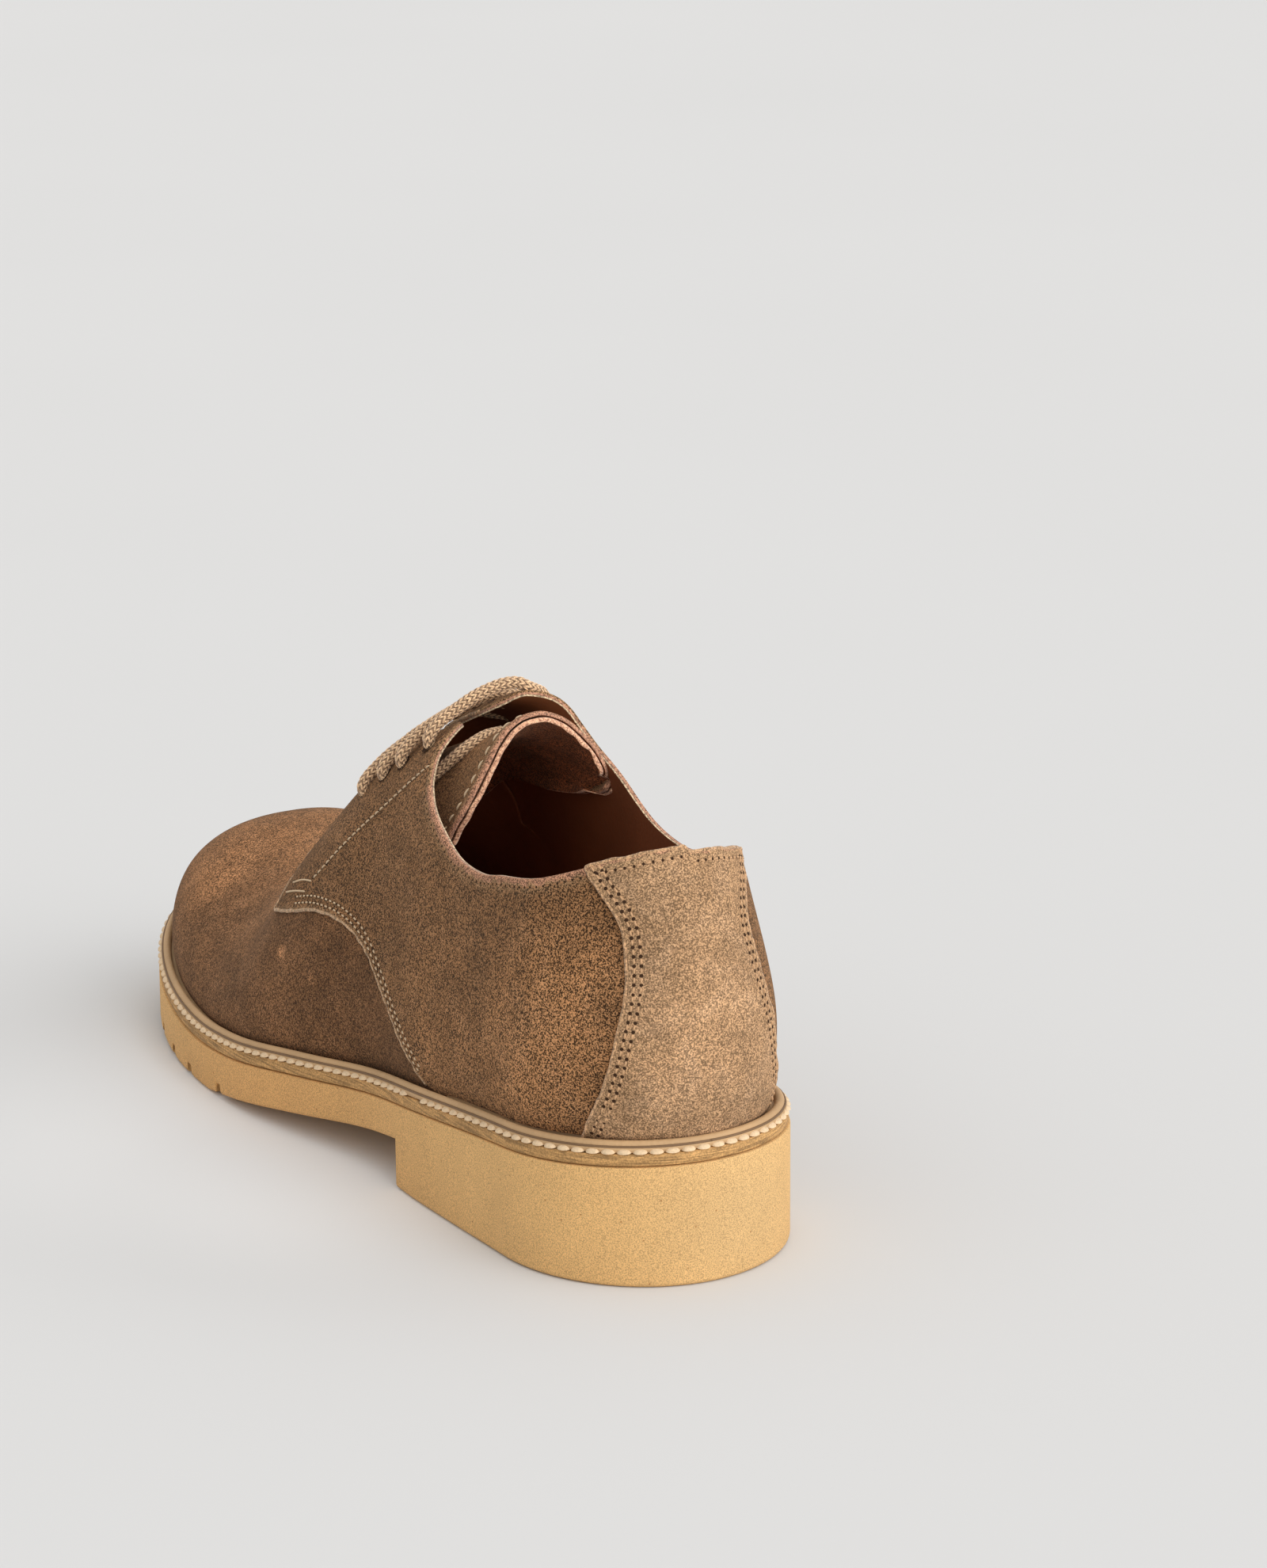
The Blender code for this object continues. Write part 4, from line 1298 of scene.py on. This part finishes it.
def make_quarters():
    """Both quarters round the heel, their lining and their cut edges."""
    place, turn, signed = quarter_grid()
    base = last_point(place, turn)
    normal = last_normal(place, turn)
    relief = quarter_relief(base)
    lift = flap_lift(place, turn)
    face = base + normal * (quarter_proud(base) + lift + relief)[..., None]
    foot, crown, front, rear = border_distances(face)
    free = np.where(np.abs(signed) > 0.54, 0.0, 1.0)[:, None]
    cut_edge = np.minimum(np.minimum(foot + free, front), rear)
    outer = face - normal * rounded(np.minimum(cut_edge, crown), CUT_ROUND)[..., None]
    middle = face - normal * QUARTER_FACE
    ragged = wander(face, size=0.004, depth=0.0016, seed=31)
    low = ease(turn, 0.62, 0.50)
    edge = np.maximum(fade(cut_edge + ragged * 0.3, 0.0010) * 0.55,
                      fade(crown + ragged, 0.0010 + 0.0018 * low) * (0.45 + 0.45 * low))
    body = suede("quarter_suede", TAUPE, grain=1.5, blotch=0.22, wear_and_light=QUARTER_HIGHLIGHT_AND_TINTS)
    cut = raw_edge("quarter_edge")
    # the lining carries a painted pool of light in the throat
    lining = smooth_leather("lining_leather", LINING, rough=0.6, spots=(LINING_PAINTED_LIGHT,))
    dress(slab_piece("quarters", outer, middle, [body, lining, cut], edge), "upper", "upper")
    inside = base + normal * (relief + lift - QUARTER_LAP)[..., None]
    rim = raw_edge("lining_edge", CREAM)
    back = middle - normal * LAYER_GAP
    dress(slab_piece("quarter_lining", back, inside, [lining, lining, rim, lining]), "upper")
    pale = raw_edge("pale_cut", CUT_PALE)
    last = face.shape[0] - 1
    foot_cut = np.nonzero(signed[:last // 2] >= 0.56)[0][::-1]
    throat_cut = np.nonzero(signed[:last // 2] >= 0.88)[0]
    for side, feet, throat, end in (("outer", foot_cut, throat_cut, 0),
                                    ("inner", last - foot_cut, last - throat_cut, last)):
        route, away = (np.concatenate([grid[feet, 0], grid[end, 1:], grid[throat[1:], -1]])
                       for grid in (face, normal))
        cut_roll(f"quarter_cut_{side}", route, away, pale, "upper")
    return face, signed


def make_vamp():
    """The vamp in one piece over both flanks; its rear edge lies under the quarters."""
    turn = np.linspace(0, 2, 141)
    half = np.minimum(turn, 2 - turn)
    shift = np.where(turn > 1, INNER_SHIFT * 1.25 * ease(half, 0.30, 0.60), 0.0)
    rear = place_of(linear(VAMP_REAR, half) + shift)
    f = np.linspace(0, 1, 150)[:, None]
    place = rear + (1 - rear) * f
    turns = np.broadcast_to(turn, place.shape)
    base = last_point(place, turns)
    normal = last_normal(place, turns)
    relief = wander(base, size=0.06, depth=0.0009, seed=8) * ease(base[..., 2], 0.035, 0.05)
    relief = relief * (1 - ease(station(place), 0.93, 0.99))
    outer = base + normal * relief[..., None]
    wall = VAMP_REAR_WALL + (WALL - VAMP_REAR_WALL) * ease(f, 0.0, 0.12)
    body = suede("vamp_suede", TAUPE_VAMP, grain=0.85, blotch=0.30, wear_and_light=VAMP_WEAR_AND_HIGHLIGHTS)
    lining = bpy.data.materials["lining_leather"]
    inner = outer - normal * wall[..., None]
    dress(slab_piece("vamp", outer, inner, [body, lining, lining], flip=True), "upper")


def make_counter():
    """The patch round the heel, laid over the quarters, with two rows of stitches."""
    height = np.concatenate([np.linspace(0, 0.985, 60), [0.9885, 0.992, 0.995, 0.9975, 1.0]])[:, None]
    place = place_of(read(COUNTER_EDGE, "along", height)) * (2 * crowded(60) - 1)
    ribs = [(rib.top_along, rib.share) for rib in QUARTER[:5]]
    top = read(QUARTER, "top_turn", linear(ribs, station(place)))
    turn = QUARTER[0].low_turn + (top - QUARTER[0].low_turn) * height
    base = last_point(place, turn)
    normal = last_normal(place, turn)
    proud = quarter_proud(base) + quarter_relief(base) + GAP + COUNTER_THICKNESS
    face = base + normal * proud[..., None]
    left, right, _, above = border_distances(face)
    side = np.minimum(left, right)
    outer = face - normal * rounded(np.minimum(side, above), CUT_ROUND)[..., None]
    inner = face - normal * (COUNTER_THICKNESS + GAP * 0.8)
    ragged = wander(face, size=0.004, depth=0.0012, seed=17)
    nearness = np.maximum(fade(side + ragged * 0.4, 0.0011) * 0.35, fade(above + ragged, 0.0016) * 0.75)
    body = suede("counter_suede", GREIGE, grain=0.60, blotch=0.20, wear_and_light=COUNTER_TINTS)
    cut = bpy.data.materials["quarter_edge"]
    dress(slab_piece("counter_patch", outer, inner, [body, cut, cut], nearness), "counter", "counter")
    route, around = (np.concatenate([grid[:, -1], grid[-1, -2::-1], grid[-2::-1, 0]])
                     for grid in (face, normal))
    cut_roll("counter_cut", route, around, raw_edge("counter_cut_edge", tone(GREIGE, 1.35)), "counter")
    made = thread("counter_thread", tone(GREIGE, 1.6))
    for number, distance in enumerate(COUNTER_ROWS):
        for name, column in (("outer", -1), ("inner", 0)):
            route, ups = inset_route(face, face[:, column], distance)
            stitches(f"counter_stitches_{name}_{number}", route[2:-2], ups[2:-2],
                     COUNTER_STITCH, made, "counter")
    route, ups = inset_route(face, face[-1], COUNTER_TOP_ROW)
    stitches("counter_stitches_top", route[3:-3], ups[3:-3], COUNTER_TOP_STITCH, made, "counter")


def tongue_grid(lengths=64, turns=60):
    """Outer face of the tongue: its free edge eased into the last's form."""
    share = np.concatenate([[0.0, 0.004, 0.008, 0.013], np.linspace(0.02, 1, lengths)])
    along = read(TONGUE, "along", share) - GAP / SOLE_LENGTH
    edge = read(TONGUE, "turn", share)
    step = 2 * crowded(2 * turns) - 1
    turn = 1 + (1 - edge)[:, None] * step
    place = np.broadcast_to(place_of(along)[:, None], turn.shape)
    sunk = QUARTER_LAP + GAP + 0.0014 * ease(along, 0.53, 0.58)
    lasted = last_point(place, turn) - last_normal(place, turn) * sunk[:, None, None]
    free = smooth_route([np.array(spot) * MM for spot in FREE_EDGE], 10)
    run = run_along(free)
    free = at_run((step + 1) / 2 * run[-1], run, free)
    keep = (1 - ease(share, 0.0, 0.62))[:, None, None]
    carried = free + (lasted[:, 60:61] - lasted[:1, 60:61])
    pressed = ease(share, 0.02, 0.22) * (1 - ease(share, 0.70, 1.0))
    grid = lasted * (1 - keep) + carried * keep
    grid[..., 2] -= TONGUE_SINK * pressed[:, None] * fade(step - TONGUE_SINK_SIDE, 0.6)
    return grid


def grid_normals(grid):
    """Normals of a surface grid that point away from the shoe's core."""
    normal = unit(np.cross(np.gradient(grid, axis=0), np.gradient(grid, axis=1)))
    return face_out(normal.reshape(-1, 3), grid.reshape(-1, 3)).reshape(grid.shape)


def make_tongue():
    """Two layers of leather with a cut edge, arched over the foot, and its stitches."""
    face = tongue_grid()
    normal = grid_normals(face)
    left, right, front, _ = border_distances(face)
    away = np.minimum(np.minimum(left, right), front)
    outer = face - normal * rounded(away, TONGUE_ROUND)[..., None]
    middle = face - normal * TONGUE_FACE
    body = suede("tongue_suede", tone(TAUPE, 1.05), grain=0.9, blotch=0.2)
    dark = suede("tongue_back", tone(LINING, 0.85), grain=0.9, blotch=0.35)
    band = fade(away + wander(face, size=0.004, depth=0.0008, seed=9), 0.0017) * 0.8
    cut = bpy.data.materials["quarter_edge"]
    dress(slab_piece("tongue_face", outer, middle, [body, dark, cut], band), "tongue", "tongue")
    waves = wander(face, size=0.006, depth=0.0006, seed=41) * fade(away, 0.006)
    creases = wander(face * np.array([1.0, 0.35, 1.0]), size=0.0055, depth=0.0006, seed=5)
    creases = creases * ease(face[..., 0], -0.004, -0.016)
    under = middle - normal * (0.00025 + 0.0003 * fade(away, 0.002) + waves * 0.4)[..., None]
    inner = under - normal * (TONGUE_BACK - creases)[..., None]
    cut = raw_edge("tongue_edge", tone(RAW_EDGE, 1.75))
    piece = slab_piece("tongue_lining", under, inner, [dark, dark, cut], fade(away, 0.0012) * 0.8)
    dress(piece, "tongue")
    border = np.concatenate([face[::-1, 0], face[0, 1:], face[1:, -1]])
    line, ups = inset_route(face, border, TONGUE_ROW)
    stitches("tongue_stitches", line[4:-4], ups[4:-4], TONGUE_STITCH,
             shared(thread, "seam_thread", CREAM), "tongue", lift=0.12 * MM)


def make_seams(face, signed):
    """The stitch rows of the quarters: the curved seam, the facings and the collar."""
    pale = shared(thread, "seam_thread", CREAM)
    dull = thread("collar_thread", tone(TAUPE, 1.9))
    last = face.shape[0] - 1
    shares = np.abs(signed[:last // 2 + 1])
    for side, mirror in (("outer", False), ("inner", True)):
        seam, collar = (np.nonzero(kept)[0] for kept in (shares >= 0.575, shares <= 0.83))
        way, shift = 1, 0.0
        if mirror:
            seam, collar, way, shift = last - seam, last - collar, -1, INNER_SHIFT
        for number, distance in enumerate(SEAM_ROWS):
            route, ups = inset_route(face, face[seam, 0], distance)
            stitches(f"seam_stitches_{side}_{number}", route[14:-1], ups[14:-1],
                     SEAM_STITCH, pale, "upper")
        route, ups = inset_route(face, face[collar, -1], COLLAR_ROW)
        stitches(f"collar_stitches_{side}", route[2:-24], ups[2:-24], COLLAR_STITCH, dull, "upper")
        line = [(along + shift * ease(turn, 0.35, 0.6), turn) for along, turn in FACING_LINE]
        route, ups = last_route(line, QUARTER_STEP + 0.00005, way)
        stitches(f"facing_stitches_{side}", route, ups, FACING_STITCH, pale, "upper")
        for number, tack in enumerate(TACKS):
            route, ups = last_route(tack, QUARTER_STEP + 0.00010, way, 20)
            stitches(f"tack_{side}_{number}", route, ups, TACK_STITCH, pale, "upper")


# Laces

def on_facing(along, turn, side):
    """A point over an eyelet, and the outward direction there."""
    place = np.array([float(place_of(along)) * side])
    turn = np.array([turn])
    up = last_normal(place, turn)[0]
    return last_point(place, turn)[0] + up * (QUARTER_STEP + float(flap_lift(place, turn)[0])), up


def disc(centre, up, radius, sides):
    """Points of a circle round a centre, square to a direction."""
    ahead = unit(np.cross(up, (0, 1.0, 0)))
    over = np.cross(up, ahead)
    angles = [2 * math.pi * k / sides for k in range(sides)]
    return [centre + (ahead * math.cos(a) + over * math.sin(a)) * radius for a in angles]


def cord(name, knots, radius, made):
    tube(name, smooth_route(knots), radius, made, "lace", CORD_SIDES, CORD_SPACING, CORD_STRANDS)


def make_laces():
    """Four strands over the throat, each from an eyelet to the one opposite, and the
    strand that lies on the tongue."""
    made = braid("braided_cord", LACE_TAN)
    spots = []
    for number, strand in enumerate(STRANDS, 1):
        first, up_first = on_facing(strand.outer, strand.outer_turn, 1)
        last, up_last = on_facing(strand.inner, strand.inner_turn, -1)
        for root, up in ((first, up_first), (last, up_last)):
            spots += disc(root + up * 0.00008, up, EYELET_REACH, EYELET_SIDES)
        if number == 1:
            knots = [first - up_first * 0.0008] + [np.array(spot) * MM for spot in TOP_STRAND]
            knots += [last + up_last * 0.0012, last - up_last * 0.0008]
        else:
            middle = float(place_of((strand.outer + strand.inner) / 2))
            rise = float(flap_lift(-middle, 0.97)) * 0.6
            crest = last_point(middle, 1.0)
            crest[2] += QUARTER_STEP + CORD_RADIUS + rise + strand.hump
            knots = [first - up_first * 0.0008, first + up_first * 0.0010,
                     first * 0.86 + crest * 0.14 + up_first * 0.0028,
                     first * 0.5 + crest * 0.5 + up_first * 0.0032,
                     crest,
                     last * 0.5 + crest * 0.5 + up_last * 0.0026,
                     last * 0.86 + crest * 0.14 + up_last * 0.0024,
                     last + up_last * 0.0010, last - up_last * 0.0008]
        cord(f"lace_{number}", knots, CORD_RADIUS, made)
        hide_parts(f"lace_bar_{number}")
    cord("lace_under", [np.array(spot) * MM for spot in UNDER_STRAND], CORD_RADIUS * 0.94, made)
    # dark discs of painted shade round each lace's root, where the eyelet holes are
    faces = [tuple(range(base, base + EYELET_SIDES)) for base in range(0, len(spots), EYELET_SIDES)]
    holes = mesh_object("eyelet_hole_shade", spots, faces, [bpy.data.materials["needle_hole"]], smooth=False)
    dress(holes, "upper")


# Stage

CAMERA_EYE = (0.67031, 1.34342, 0.52530)
CAMERA_RIGHT = (-0.87824, 0.47820, -0.00447)
CAMERA_UP = (-0.13499, -0.23893, 0.96161)
CAMERA_BACK = (0.45877, 0.84512, 0.27439)
FOCAL = 129.07
# Studio light: the key's direction by the camera's axes, then for the key and the top
# light how narrow it is and its share, and the light from everywhere
KEY_RIGHT = 0.74
KEY_BACK = 0.62
KEY_UP = 0.32
KEY_POWER = 5.0
KEY_SHARE = 3.15
TOP_POWER = 2.0
TOP_SHARE = 0.50
EVEN_LIGHT = 0.55
SKY_COLOUR = (1.0, 0.985, 0.965)
# Half the side of the floor
FLOOR_SIZE = 12.0


def place_camera():
    """The camera at the photograph's viewing angle."""
    data = bpy.data.cameras.new("camera")
    data.lens = FOCAL
    data.sensor_width = 36.0
    data.clip_start = 0.01
    data.clip_end = 50.0
    camera = bpy.data.objects.new("camera", data)
    bpy.context.scene.collection.objects.link(camera)
    rows = [(CAMERA_RIGHT[k], CAMERA_UP[k], CAMERA_BACK[k], CAMERA_EYE[k]) for k in range(3)]
    camera.matrix_world = Matrix(rows + [(0, 0, 0, 1)])
    bpy.context.scene.camera = camera


def place_lights():
    """A pale sky with a soft main light behind the camera's right and a top light."""
    right, back = np.array(CAMERA_RIGHT), np.array(CAMERA_BACK)
    world = bpy.data.worlds.new("studio")
    world.use_nodes = True
    kit = Kit(world.node_tree, "Background", "Generated")
    key = unit(right * KEY_RIGHT + np.array([0, 0, KEY_UP]) + (back - [0, 0, back[2]]) * KEY_BACK)
    total = EVEN_LIGHT
    for way, power, share in ((key, KEY_POWER, KEY_SHARE), ((0, 0, 1.0), TOP_POWER, TOP_SHARE)):
        facing = kit.sums("MAXIMUM", kit.vectors("DOT_PRODUCT", kit.place, tuple(way)), 0.0)
        total = kit.sums("MULTIPLY_ADD", kit.sums("POWER", facing, power), share, total)
    kit.fill(kit.surface, Color=(*SKY_COLOUR, 1), Strength=total)
    bpy.context.scene.world = world
    bpy.context.scene.view_settings.view_transform = "Standard"


def make_floor():
    """A wide sheet of pale paper, painted paler beside the shoe where its shadow falls, to lighten that
    shadow.
    """
    made, kit = shader("floor_paper", 0.9, specular=0.2)
    colour = kit.mix((0.655, 0.660, 0.665), (0.675, 0.680, 0.685), kit.noise(3.0))
    # painted light over the shoe's shadow on the floor
    kit.finish(kit.wear_and_light_spots(colour, FLOOR_SHADOW_LIFT))
    spots = [(x * FLOOR_SIZE, y * FLOOR_SIZE, 0) for x, y in ((-1, -1), (1, -1), (1, 1), (-1, 1))]
    floor = mesh_object("floor", spots, [(0, 1, 2, 3)], [made])


place_camera()
make_outsole()
make_midsole()
make_welt()
make_sock()
quarters_face, quarter_shares = make_quarters()
make_vamp()
make_counter()
make_tongue()
make_seams(quarters_face, quarter_shares)
make_laces()
make_floor()
place_lights()
